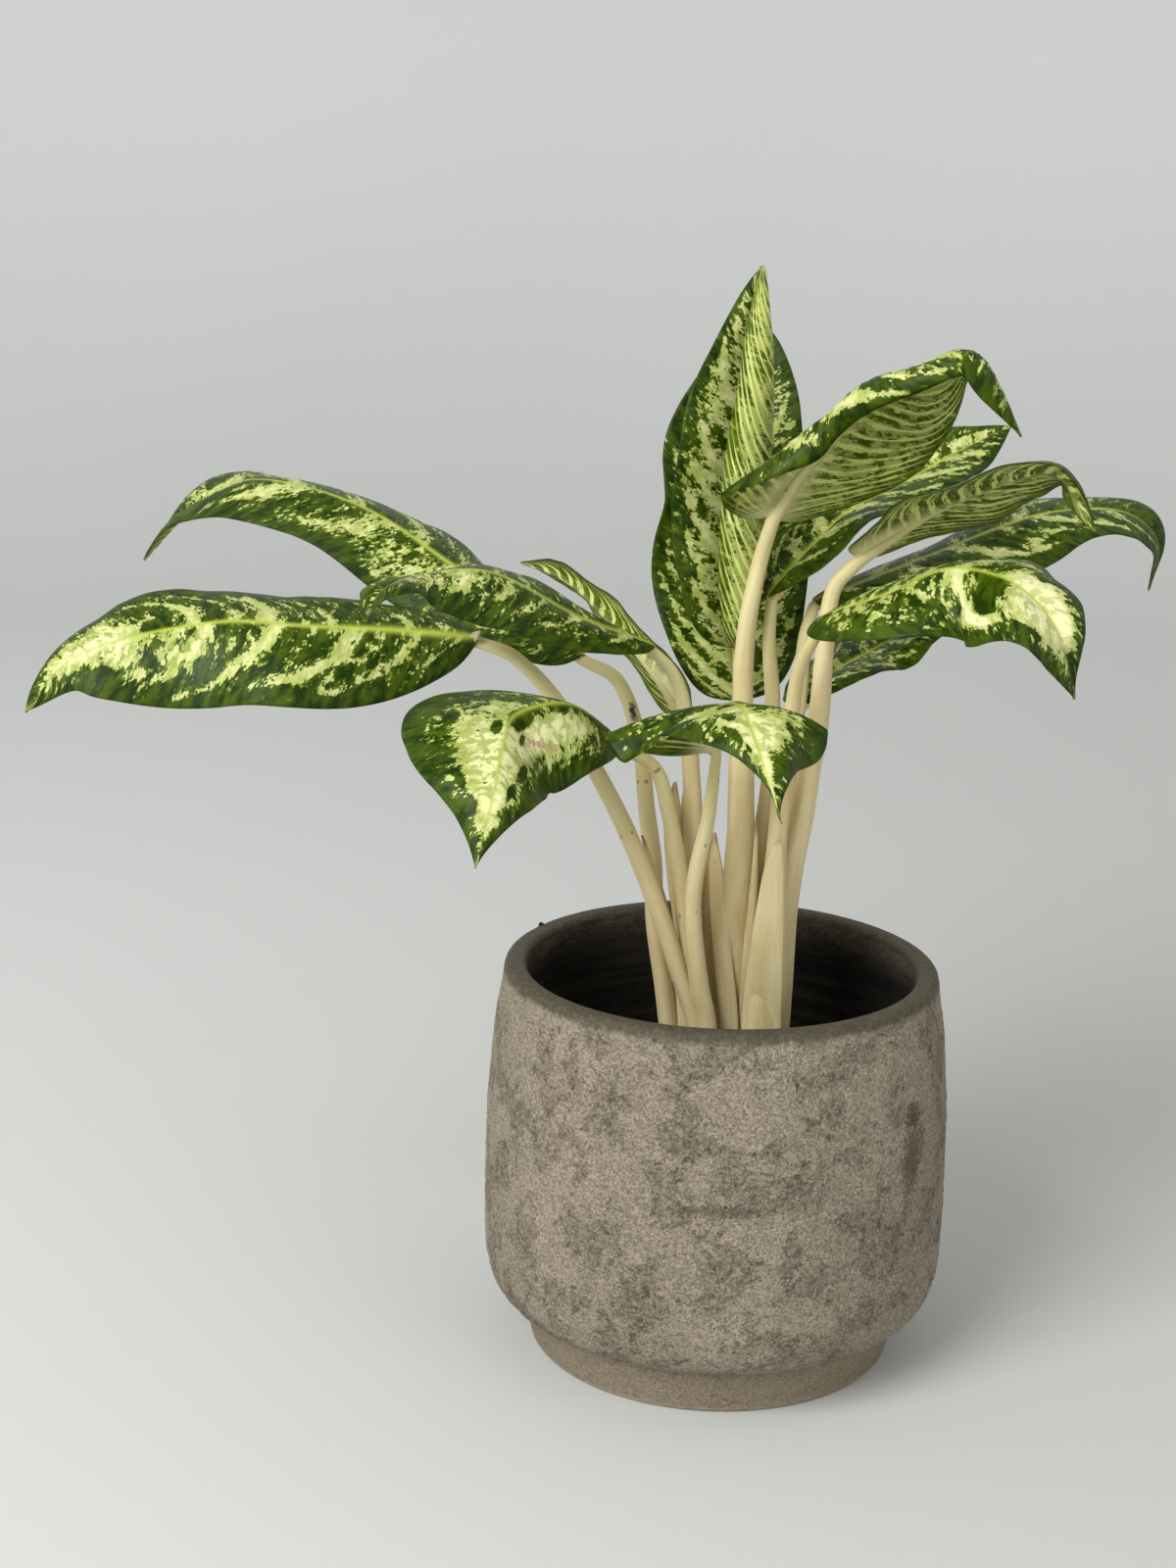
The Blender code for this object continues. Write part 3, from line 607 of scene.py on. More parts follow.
class Graph:
    """Adds and links the nodes of one node tree."""

    def __init__(self, tree: bpy.types.NodeTree) -> None:
        """Starts on a tree."""
        self.tree = tree

    def feed(self, socket: bpy.types.NodeSocket, value: object) -> None:
        """Links a socket to an output, or sets it to a number, vector or colour."""
        if isinstance(value, Value):
            self.tree.links.new(value.socket, socket)
        elif socket.type == "RGBA":
            socket.default_value = (*value, 1.0)
        else:
            socket.default_value = value

    def node(self, kind: str, inputs: dict | None = None, **settings: object) -> bpy.types.Node:
        """Adds a node.

        Args:
            kind: The node's type, without its ShaderNode prefix.
            inputs: Values or outputs for its inputs, by name or number.
            settings: Its own properties.

        Returns:
            The node.
        """
        prefix = "" if kind.startswith("NodeGroup") else "ShaderNode"
        node = self.tree.nodes.new(prefix + kind)
        for name, value in settings.items():
            setattr(node, name, value)
        for name, value in (inputs or {}).items():
            self.feed(node.inputs[name], value)
        return node

    def add(self, kind: str, output: int | str, inputs: dict | None = None,
            **settings: object) -> Value:
        """Adds a node and gives the output of that name or number."""
        return Value(self, self.node(kind, inputs, **settings).outputs[output])

    def attributes(self, *names: str) -> list[Value]:
        """Numbers kept on the piece's vertices."""
        return [self.add("Attribute", "Fac", attribute_name=name) for name in names]

    def place(self) -> Value:
        """The Object coordinates."""
        return self.add("TexCoord", "Object")

    def part(self, vector: Value, axis: str) -> Value:
        """One number of a vector."""
        return self.add("SeparateXYZ", axis, {0: vector})

    def math(self, operation: str, a: object, b: object = 0.0) -> Value:
        """One step of arithmetic."""
        return self.add("Math", 0, {0: a, 1: b}, operation=operation)

    def vector(self, operation: str, output: str, a: object, b: object = ORIGIN) -> Value:
        """One step of arithmetic on vectors."""
        return self.add("VectorMath", output, {0: a, 1: b}, operation=operation)

    def scaled(self, vector: Value, scale: tuple) -> Value:
        """A vector with each of its numbers multiplied."""
        return self.vector("MULTIPLY", "Vector", vector, scale)

    def noise(self, place: Value, scale: float | tuple, detail: float = 2.0,
              roughness: float = 0.5, distortion: float = 0.0) -> Value:
        """Soft noise, about 0.5 in the middle, at one scale or one for each direction."""
        if isinstance(scale, tuple):
            place, scale = self.scaled(place, scale), 1.0
        return self.add("TexNoise", "Fac", {"Vector": place, "Scale": scale, "Detail": detail,
                                            "Roughness": roughness, "Distortion": distortion})

    def step(self, value: Value, low: object, high: object, start: float = 0.0,
             end: float = 1.0) -> Value:
        """A smooth step between two values."""
        return self.add("MapRange", 0, {"Value": value, "From Min": low, "From Max": high,
                                        "To Min": start, "To Max": end},
                        interpolation_type="SMOOTHSTEP")

    def mix(self, share: object, a: object, b: object) -> Value:
        """Two colours mixed."""
        return self.add("Mix", 2, {0: share, 6: a, 7: b}, data_type="RGBA")

    def tinted(self, colour: object, amount: object) -> Value:
        """A colour made lighter or darker by a factor."""
        return self.add("VectorMath", 0, {0: colour, "Scale": amount}, operation="SCALE")

    def bump(self, height: Value, distance: float, strength: float = 1.0) -> Value:
        """A bumped normal from a height that runs from 0 to 1, so many metres deep."""
        return self.add("Bump", 0, {"Height": height, "Distance": distance,
                                    "Strength": strength})


class Group:
    """A shader node group: named inputs with their usual values, and named outputs."""

    def __init__(self, name: str, inputs: dict[str, object], outputs: tuple[str, ...]) -> None:
        """Makes the group's tree and sockets.

        Args:
            name: The group's name.
            inputs: Input names with a number, or a vector of three.
            outputs: Names of the number outputs.
        """
        self.tree = bpy.data.node_groups.new(name, "ShaderNodeTree")
        for label, value in inputs.items():
            kind = "NodeSocketVector" if isinstance(value, tuple) else "NodeSocketFloat"
            socket = self.tree.interface.new_socket(label, in_out="INPUT", socket_type=kind)
            socket.default_value = value
        for label in outputs:
            self.tree.interface.new_socket(label, in_out="OUTPUT", socket_type="NodeSocketFloat")
        self.graph = Graph(self.tree)
        given = self.graph.node("NodeGroupInput").outputs
        self.inputs = [Value(self.graph, given[label]) for label in inputs]
        self.result = self.graph.node("NodeGroupOutput").inputs

    def give(self, **results: Value) -> "Group":
        """Feeds the outputs."""
        for label, value in results.items():
            self.graph.feed(self.result[label], value)
        return self

    def into(self, graph: Graph, **values: object) -> dict[str, Value]:
        """Places the group in a material."""
        node = graph.node("Group", values, node_tree=self.tree)
        return {socket.name: Value(graph, socket) for socket in node.outputs}


def feathering() -> Group:
    """Torn cream feathers and clouds, from a place on the blade and a bias to cream or green."""
    group = Group("feathering", {"Place": ORIGIN, "Bias": 0.0, "Softness": 0.03},
                  ("Cream", "Halo", "Clouds", "Shade"))
    g, (place, bias, soft) = group.graph, group.inputs
    across, ahead = 1.55, 0.95
    cell = g.add("TexVoronoi", "Position",
                 {"Vector": g.scaled(place, (across, ahead, 1.0)), "Scale": 1.0})
    cell = g.scaled(cell, (1 / across, 1 / ahead, 1.0))
    blocky = g.add("Mix", 1, {0: 0.75, 4: place, 5: cell}, data_type="VECTOR",
                   factor_mode="UNIFORM")
    broad = g.noise(place, (0.11, 0.07, 1.0), 1.0)
    islands = g.noise(blocky, (0.36, 0.22, 1.0), 2.0, 0.55, 0.6)
    torn = g.noise(blocky, (1.05, 0.7, 1.0), 3.0, 0.65, 0.4)
    value = (broad - 0.5) * 0.6 + bias + (islands - 0.5) * 2.3 + (torn - 0.5) * 0.65
    halo = (g.noise(blocky, (0.8, 0.5, 1.0), 2.0, 0.6, 0.4) - 0.46) * 0.9 + value
    return group.give(
        Cream=g.step(value, soft * -1.0, soft), Halo=g.step(halo, -0.10, -0.02),
        Clouds=g.step(g.noise(place, (0.34, 0.26, 1.0), 3.0, 0.62, 0.4), 0.47, 0.57),
        Shade=g.noise(place, (0.3, 0.15, 1.0), 3.0, 0.6))


def veining() -> Group:
    """Side veins as lines, as ragged stripes, and as a height with the blade's fine skin."""
    group = Group("veining", {"Place": ORIGIN, "Spacing": 4.2}, ("Height", "Lines", "Stripes"))
    g, (place, spacing) = group.graph, group.inputs
    drift = g.noise(place, (0.12, 0.08, 1.0), 1.0)
    phase = g.math("FRACT", (drift * 3.0 + g.part(place, "X")) / spacing)
    line = g.math("ABSOLUTE", phase - 0.5)
    lines = g.step(line, 0.5, 0.40, 1.0, 0.0)
    ragged = g.noise(place, (0.75, 0.2, 1.0), 3.0, 0.65, 0.5)
    return group.give(Lines=lines, Stripes=g.step((ragged - 0.5) * 1.3 + line, 0.31, 0.38),
                      Height=lines * -0.35 + g.noise(place, (2.2, 0.9, 1.0)))


def sand() -> Group:
    """Sandy glaze: the grains' tone, worn patches with lumps in them, and the height of all."""
    group = Group("sand", {"Place": ORIGIN}, ("Tone", "Worn", "Lumps", "Height"))
    g, (place,) = group.graph, group.inputs
    fine = g.noise(place, 1250.0, 3.0, 0.75)
    lumps = g.noise(place, 380.0, 3.0, 0.6, 0.5)
    worn = g.step(g.noise(place, 66.0, 6.0, 0.7, 0.3), 0.48, 0.56)
    grain = g.add("TexVoronoi", "Color", {"Vector": place, "Scale": 1500.0})
    grain = g.add("SeparateColor", 0, {0: grain})
    return group.give(Tone=grain * 0.22 + fine * 0.78, Worn=worn, Lumps=lumps,
                      Height=fine * 0.75 + lumps * 0.45 + worn * (lumps * 1.3 - 0.95))


def blemish() -> Group:
    """A ragged mark round one point."""
    group = Group("blemish", {"Place": ORIGIN, "Centre": ORIGIN, "Stretch": (1.0, 1.0, 1.0),
                              "Size": 0.003, "Raggedness": 0.6}, ("Mark",))
    g, (place, centre, stretch, size, raggedness) = group.graph, group.inputs
    apart = g.vector("SUBTRACT", "Vector", place, centre)
    apart = g.vector("DIVIDE", "Vector", apart, stretch)
    distance = g.vector("LENGTH", "Value", apart) / size
    ragged = (g.noise(place, 900.0, 3.0, 0.7) - 0.5) * (raggedness * 4.0)
    return group.give(Mark=g.step(distance + ragged, 1.1, 0.7))


# Finishes

class Finish:
    """A material round one Principled shader."""

    def __init__(self, name: str, **constants: object) -> None:
        """Makes the material.

        Args:
            name: Its name.
            constants: Shader inputs that are the same all over; underscores stand for blanks.
        """
        self.material = bpy.data.materials.new(name)
        self.material.use_nodes = True
        self.shader = self.material.node_tree.nodes["Principled BSDF"]
        self.graph = Graph(self.material.node_tree)
        self.set(**constants)

    def set(self, **values: object) -> bpy.types.Material:
        """Feeds shader inputs and gives the material; underscores stand for blanks."""
        for label, value in values.items():
            self.graph.feed(self.shader.inputs[label.replace("_", " ")], value)
        return self.material


@dataclass(frozen=True)
class LeafFinish:
    """What both faces of a blade share: their marks, their veins and the dry tip."""

    feathers: Group
    veins: Group
    dry: Colour = (0.36, 0.27, 0.12)

    def marks(self, g: Graph, bias: Value, softness: float,
              spacing: float) -> tuple[dict[str, Value], dict[str, Value]]:
        """The feathering and the veins on one face.

        Args:
            g: The material's graph.
            bias: The bias to cream or green.
            softness: How soft the feathers' edges are.
            spacing: Millimetres between side veins.

        Returns:
            The outputs of both groups.
        """
        seed, out, feather, vein = g.attributes("seed", "out_mm", "feather_mm", "vein_mm")
        here, there = (g.add("CombineXYZ", 0, {0: way, 1: out, 2: seed})
                       for way in (feather, vein))
        return (self.feathers.into(g, Place=here, Bias=bias, Softness=softness),
                self.veins.into(g, Place=there, Spacing=spacing))


@dataclass(frozen=True)
class UpperLeafFinish(LeafFinish):
    """The glossy upper face of a blade: dark green, torn cream feathers and a pale midrib."""

    deep: Colour = (0.010, 0.028, 0.0005)
    green: Colour = (0.052, 0.088, 0.002)
    halo: Colour = (0.145, 0.195, 0.018)
    pale: Colour = (0.38, 0.44, 0.115)
    cream: Colour = (0.56, 0.58, 0.24)
    bright: Colour = (0.78, 0.76, 0.40)
    rib: Colour = (0.40, 0.47, 0.07)
    bruise: Colour = (0.48, 0.31, 0.18)
    bruised: tuple = ((-0.0609, -0.0717, 0.2272), (-0.0533, -0.0649, 0.2233))

    def make(self, spots: Group) -> bpy.types.Material:
        """The material.

        Args:
            spots: The blemish group, for the damaged vein.

        Returns:
            The upper face's material.
        """
        finish = Finish("leaf_upper_face", Coat_Weight=0.03, Coat_Roughness=0.12,
                        Specular_IOR_Level=0.1)
        g = finish.graph
        bias, milky, rib, dry = g.attributes("cream", "milky", "rib_line", "dry_tip")
        marks, relief = self.marks(g, bias, 0.03, 4.2)
        shade = marks["Shade"]
        green = g.mix(g.step(shade, 0.36, 0.66), self.deep, self.green)
        cream = g.mix(g.step(shade, 0.42, 0.58), self.pale, self.cream)
        cream = g.mix(g.step(bias, 0.25, 0.75), cream, self.bright)
        cream = g.mix(marks["Clouds"] * (milky * 0.5 + 0.3), cream, g.tinted(self.halo, 1.25))
        cream = g.mix(relief["Lines"] * 0.25, cream, self.pale)
        colour = g.mix(marks["Halo"] * 0.8, green, self.halo)
        colour = g.mix(marks["Cream"], colour, cream)
        colour = g.mix(rib * 0.9, colour, self.rib)
        for centre in np.linspace(*self.bruised, 6):
            spot = spots.into(g, Place=g.place(), Centre=tuple(centre), Size=0.0012,
                              Raggedness=0.2)
            colour = g.mix(spot["Mark"] * 0.9, colour, self.bruise)
        return finish.set(Base_Color=g.mix(dry, colour, self.dry),
                          Roughness=g.step(shade, 0.2, 0.8, 0.29, 0.42),
                          Normal=g.bump(relief["Height"], 0.00012, 0.7))


@dataclass(frozen=True)
class UnderLeafFinish(LeafFinish):
    """The duller underside: olive green with pale stripes along the veins and a cream midrib."""

    olive: Colour = (0.036, 0.070, 0.0005)
    leaf: Colour = (0.105, 0.150, 0.003)
    pale: Colour = (0.70, 0.75, 0.24)
    cream: Colour = (0.66, 0.62, 0.32)

    def make(self) -> bpy.types.Material:
        """The material."""
        finish = Finish("leaf_underside", Specular_IOR_Level=0.1)
        g = finish.graph
        bias, back, rib, dry = g.attributes("cream", "back", "rib_back", "dry_tip")
        marks, relief = self.marks(g, bias + back, 0.12, 5.6)
        shade = marks["Shade"]
        green = g.mix(g.step(shade, 0.34, 0.66), self.olive, self.leaf)
        stripes = relief["Stripes"] * g.step(bias, -0.75, -0.2, 0.0, 0.85)
        colour = g.mix(marks["Halo"] * 0.12, green, self.pale)
        colour = g.mix(g.math("MAXIMUM", stripes, marks["Cream"] * 0.35), colour, self.pale)
        colour = g.mix(dry, g.mix(rib, colour, self.cream), self.dry)
        return finish.set(Base_Color=colour, Roughness=g.step(shade, 0.2, 0.8, 0.45, 0.58),
                          Normal=g.bump(relief["Height"], 0.00015, 0.8))


@dataclass(frozen=True)
class StalkFinish:
    """Smooth ivory stalk with faint ribs, brown specks and one dark scar, greener by the blade."""

    ivory: Colour = (0.60, 0.475, 0.235)
    light: Colour = (0.70, 0.605, 0.35)
    green: Colour = (0.55, 0.55, 0.22)
    speck: Colour = (0.20, 0.12, 0.05)
    dry: Colour = (0.30, 0.19, 0.09)
    scar: Colour = (0.018, 0.012, 0.008)
    scar_at: tuple = (-0.0315, 0.001, 0.2225)

    def make(self, spots: Group) -> bpy.types.Material:
        """The material.

        Args:
            spots: The blemish group, for the scar.

        Returns:
            The stalks' material.
        """
        finish = Finish("ivory_stalk", Specular_IOR_Level=0.4, Subsurface_Weight=0.12,
                        Subsurface_Radius=(0.004, 0.003, 0.0012), Subsurface_Scale=1.0)
        g = finish.graph
        about, length, seed, greening, dry = g.attributes("round_mm", "length_mm", "seed",
                                                          "greening", "dry_end")
        place = g.add("CombineXYZ", 0, {0: about, 1: length, 2: seed})
        ribs = g.noise(place, (1.6, 0.03, 1.0))
        tone = g.noise(place, (0.25, 0.035, 1.0), 3.0, 0.55)
        colour = g.mix(g.step(tone, 0.3, 0.7), self.ivory, self.light)
        colour = g.mix(g.step(ribs, 0.45, 0.75) * 0.25, colour, self.ivory)
        colour = g.mix(greening, colour, self.green)
        specks = g.add("TexVoronoi", "Distance",
                       {"Vector": g.scaled(place, (0.22, 0.12, 1.0)), "Scale": 1.0})
        gate = g.step(g.noise(place, (0.05, 0.03, 1.0), 1.0), 0.48, 0.6)
        colour = g.mix(g.step(specks, 0.13, 0.06) * gate * 0.75, colour, self.speck)
        colour = g.mix(dry * g.step(ribs, 0.35, 0.5, 0.5, 1.0), colour, self.dry)
        scar = spots.into(g, Place=g.place(), Centre=self.scar_at, Stretch=(0.9, 1.0, 1.6),
                          Size=0.0036, Raggedness=0.3)
        return finish.set(Base_Color=g.mix(scar["Mark"], colour, self.scar),
                          Roughness=g.step(tone, 0.3, 0.7, 0.36, 0.5),
                          Normal=g.bump(ribs, 0.00025, 0.6))


@dataclass(frozen=True)
class StonewareFinish:
    """The pot: coarse sandy taupe-grey glaze, a smoother foot band, a dark lip and inside."""

    plate: Colour = (0.290, 0.245, 0.182)
    worn: Colour = (0.232, 0.192, 0.140)
    # dark glaze of the scratch, and also the painted shade in the hollows of the worn patches
    scratch_and_hollow_shade: Colour = (0.090, 0.072, 0.051)
    band: Colour = (0.240, 0.196, 0.135)
    lip: Colour = (0.056, 0.047, 0.029)
    inside: Colour = (0.016, 0.013, 0.009)
    rust: Colour = (0.105, 0.055, 0.033)

    def stained(self, g: Graph, place: Value, colour: Value, spots: Group) -> Value:
        """The glaze with its one dark scratch and two rusty marks.

        Args:
            g: The material's graph.
            place: The Object coordinates.
            colour: The plain glaze.
            spots: The blemish group.

        Returns:
            The marked glaze.
        """
        for centre, stretch, size, stain, share in (
                ((0.0032, -0.0792, 0.0787), (2.4, 1.0, 0.32), 0.007, self.scratch_and_hollow_shade, 0.6),
                ((0.0645, -0.0467, 0.0851), (0.6, 1.0, 2.4), 0.006, self.rust, 0.75),
                ((0.0645, -0.0451, 0.1005), (0.7, 1.0, 0.8), 0.006, self.rust, 0.85)):
            spot = spots.into(g, Place=place, Centre=centre, Stretch=stretch, Size=size,
                              Raggedness=0.9)
            colour = g.mix(spot["Mark"] * share, colour, stain)
        return colour

    def make(self, grains: Group, spots: Group) -> bpy.types.Material:
        """The material.

        Args:
            grains: The sand group.
            spots: The blemish group.

        Returns:
            The pot's material.
        """
        finish = Finish("sandy_stoneware", Specular_IOR_Level=0.3)
        g = finish.graph
        place = g.place()
        height = g.part(place, "Z") / MM
        sandy = grains.into(g, Place=place)
        tone, worn, lumps = sandy["Tone"], sandy["Worn"], sandy["Lumps"]
        clouds = g.step(g.noise(place, (30.0, 30.0, 15.0), 3.0, 0.6), 0.35, 0.65, 0.92, 1.06)
        colour = g.mix(worn, self.plate, self.worn)
        # painted shade: darker where the lumps are low, most of all in the worn patches
        colour = g.mix(g.step(lumps, 0.52, 0.34) * (worn * 0.6 + 0.15), colour, self.scratch_and_hollow_shade)
        colour = g.tinted(colour, clouds * g.step(tone, 0.30, 0.70, 0.55, 1.45))
        colour = self.stained(g, place, colour, spots)
        edge = (g.noise(place, 260.0, 3.0, 0.7) - 0.5) * 4.0 + height
        on_band, on_lip = g.step(edge, 17.2, 15.4), g.step(edge, 130.8, 134.2)
        band = g.tinted(self.band, g.step(tone, 0.3, 0.7, 0.74, 1.30))
        band = g.mix(g.step(lumps, 0.66, 0.72), band, g.tinted(self.plate, 1.15))
        band = g.mix(g.step(height, 2.2, 0.9), band, g.tinted(self.plate, 1.1))
        lip = g.mix(g.step(g.noise(place, 700.0), 0.4, 0.65), self.lip, g.tinted(self.lip, 1.6))
        colour = g.mix(on_lip, g.mix(on_band, colour, band), lip)
        rings = g.step(g.noise(place, (18.0, 18.0, 270.0), 3.0), 0.4, 0.65, 0.45, 1.5)
        colour = g.mix(g.attributes("inside")[0], colour, g.tinted(self.inside, rings))
        smooth = g.math("MAXIMUM", on_lip, on_band * 0.45)
        relief = sandy["Height"] * (smooth * -0.85 + 1.0)
        return finish.set(Base_Color=colour, Roughness=g.step(on_lip, 0.0, 1.0, 0.9, 0.66),
                          Normal=g.bump(relief, 0.0013))


@dataclass(frozen=True)
class SoilFinish:
    """Loose dark brown potting soil with pale fibres."""

    dark: Colour = (0.012, 0.008, 0.005)
    brown: Colour = (0.06, 0.038, 0.022)
    fibre: Colour = (0.16, 0.10, 0.055)

    def make(self) -> bpy.types.Material:
        """The material."""
        finish = Finish("dark_soil", Roughness=0.95, Specular_IOR_Level=0.25)
        g = finish.graph
        place = g.place()
        lumps = g.noise(place, 420.0, 4.0, 0.7)
        colour = g.mix(g.step(lumps, 0.35, 0.7), self.dark, self.brown)
        fibres = g.step(g.noise(place, (900.0, 180.0, 900.0)), 0.66, 0.72)
        return finish.set(Base_Color=g.mix(fibres * 0.5, colour, self.fibre),
                          Normal=g.bump(lumps, 0.0012))


@dataclass(frozen=True)
class StudioFinish:
    """The pale matt floor and wall, with painted shade to the right and a painted lighter wall."""

    colour: Colour = (0.61, 0.618, 0.606)
    # painted shade: a darker colour for the right of the floor, where the light falls off
    painted_shade: Colour = (0.50, 0.507, 0.492)
    # painted light: the wall's paler colour stands for light that the lamps don't give it
    wall: Colour = (0.70, 0.712, 0.708)

    def make(self) -> bpy.types.Material:
        """The material."""
        finish = Finish("pale_backdrop", Roughness=0.9, Specular_IOR_Level=0.1)
        g = finish.graph
        place = g.place()
        # painted shade: the floor darkens towards the right and the front
        away = g.step(g.part(place, "X"), -0.45, 0.5) * g.step(g.part(place, "Y"), 1.6, 0.1)
        colour = g.mix(away, self.colour, self.painted_shade)
        # painted light: the rising wall is painted paler than the floor
        colour = g.mix(g.step(g.part(place, "Z"), 0.0, 0.6), colour, self.wall)
        return finish.set(Base_Color=g.tinted(colour, g.step(g.noise(place, 1.2), 0.3, 0.7,
                                                             0.99, 1.01)))


# Pieces

@dataclass
class Blade:
    """One blade: both faces, a channelled midrib, raised side veins and a waved, thin margin."""

    leaf: Leaf
    columns: int = 56
    rows: int = 120
    bend_steps: int = 24
    smoothings: int = 10
    least_half: float = 0.6
    crown: float = 1.5
    channel: float = 0.45
    quilting: float = 0.11
    ripples: float = 0.28
    ripple_counts: tuple = (5.0, 8.3, 13.7)
    crowding: float = 1.2
    centre_thickness: float = 0.8
    margin_thickness: float = 0.35
    rib_swell: float = 1.3
    vein_spacing: float = 5.0
    halves_apart: float = 90.0

    def rib(self, t: np.ndarray) -> np.ndarray:
        """The midrib's places and turns at t."""
        return along(np.array(self.leaf.rib, float), t)

    def frame(self, t: np.ndarray) -> tuple[np.ndarray, np.ndarray, np.ndarray]:
        """The way that the midrib runs at t, and the two directions that turns start from."""
        ahead = self.rib(np.minimum(t + 0.01, 1)) - self.rib(np.maximum(t - 0.01, 0))
        ahead = unit(ahead[:, :3])
        across = unit(np.cross(self.leaf.turned_from.value, ahead))
        return ahead, across, np.cross(ahead, across)

    def axes(self, t: np.ndarray, half: Half) -> tuple[np.ndarray, np.ndarray]:
        """The way that one half leaves the midrib at t, and its upper face's normal."""
        ahead, across, square = self.frame(t)
        turn = np.radians(self.rib(t)[:, 3 + half.value])[:, None]
        out = np.cos(turn) * across + np.sin(turn) * square
        return out, np.cross(out, ahead) * (1 if half is Half.RIGHT else -1)

    def width(self, t: np.ndarray, half: Half) -> np.ndarray:
        """One half's width at t, as a share of its greatest."""
        widest, taper = self.leaf.widest[half.value], self.leaf.taper[half.value]
        t = np.clip(t, 1e-6, 1 - 1e-6)
        rise = widest * taper / (1 - widest)
        return (t**rise * (1 - t)**taper) / (widest**rise * (1 - widest)**taper)

    def reach(self, t: np.ndarray, half: Half) -> np.ndarray:
        """One half's width at t, in millimetres."""
        least = self.least_half * (1 - 0.75 * t**6)
        return self.leaf.half[half.value] * self.width(t, half) + least

    def surface(self, share: np.ndarray, t: np.ndarray, half: Half) -> np.ndarray:
        """Points of one half's upper face.

        Args:
            share: How far each lies from the midrib to the margin.
            t: How far each lies from the base to the tip.
            half: The half.

        Returns:
            One row of x, y and z for each.
        """
        leaf, side = self.leaf, half.value
        ahead = self.frame(t)[0]
        out, normal = self.axes(t, half)
        width, reach = self.width(t, half), self.reach(t, half)
        roll, swept = (np.interp(t, np.linspace(0, 1, len(values)), values)
                       for values in (leaf.roll[side], leaf.sweep[side]))
        s = share[:, None] * (np.arange(self.bend_steps) + 0.5) / self.bend_steps
        bend = np.radians(roll)[:, None] * s**leaf.roll_sharpness[side]
        step = (reach * share / self.bend_steps)[:, None]
        point = self.rib(t)[:, :3] + (np.cos(bend) * step).sum(1)[:, None] * out
        point += (np.sin(bend) * step).sum(1)[:, None] * normal
        swept = swept * share**2 * np.minimum(1.0, 1.3 * width)
        phase = leaf.waves * t + (0.23 if half is Half.RIGHT else -0.23)
        wave = leaf.wave_height * np.sin(2 * pi * phase) * share**2
        wave *= np.sqrt(np.sin(pi * np.clip(t, 0, 1)))
        crown = self.crown * 4 * share * (1 - share) * np.minimum(1.0, reach / 10)
        return point + ahead * swept[:, None] + normal * (wave + crown)[:, None]

    def by_half(self, u: np.ndarray, formula: Callable[[Half], np.ndarray]) -> np.ndarray:
        """A formula's values over the blade, each from the half that its point lies in."""
        right, left = (formula(half).reshape(*u.shape, -1) for half in (Half.RIGHT, Half.LEFT))
        return np.where((u > 0)[..., None], right, left)

    def relief(self, u: np.ndarray, t: np.ndarray, reach: np.ndarray,
               vein_mm: np.ndarray) -> np.ndarray:
        """The midrib's channel, the quilting between the side veins and the margin's ripples.

        Args:
            u: From -1 at the left margin to 1 at the right.
            t: From the base to the tip.
            reach: The half's width there, in millimetres.
            vein_mm: Where the side vein through each point leaves the midrib, in millimetres.

        Returns:
            How far each point is raised, in millimetres.
        """
        share, seed = np.abs(u), self.leaf.markings.seed
        channel = -self.channel * np.exp(-(u * reach / 1.5)**2) * (1 - t)**0.6
        quilting = (self.quilting * np.sin(pi * np.clip(share, 0, 1)) * np.minimum(1, reach / 8)
                    * np.cos(2 * pi * vein_mm / self.vein_spacing + seed))
        ripple = sum(np.sin(2 * pi * k * t + seed * k + np.sign(u)) / k**0.5
                     for k in self.ripple_counts)
        return channel + quilting + self.ripples * ripple * share**4 * np.minimum(1, reach / 10)

    def marks(self, u: np.ndarray, t: np.ndarray,
              vein: np.ndarray) -> tuple[np.ndarray, np.ndarray]:
        """The bias to cream, and how milky the cream is, over the blade.

        Args:
            u: From -1 at the left margin to 1 at the right.
            t: From the base to the tip.
            vein: Where the side vein through each point leaves the midrib.

        Returns:
            The bias and the milkiness.
        """
        markings, share = self.leaf.markings, np.abs(u)
        bias = markings.cream - 0.20 - 0.4 * smooth_step(share, 0.72, 1.0)
        bias += markings.stripe_depth * np.cos(2 * pi * markings.stripes * vein + markings.seed)
        for half, bands in ((u <= 0, markings.left), (u > 0, markings.right)):
            for start, width, strength, reach in np.array(bands) / 100:
                inside = 1 - smooth_step(share, reach - 0.15, reach + 0.05)
                bias += half * strength * inside * np.exp(-((vein - start) / width)**2)
        milky = np.zeros_like(bias)
        for across, ahead, wide, long, strength, cloud in np.array(markings.patches) / 100:
            near = np.exp(-(((u - across) / wide)**2 + ((t - ahead) / long)**2)**2)
            bias += strength * near
            milky = np.maximum(milky, cloud * near)
        return bias, milky

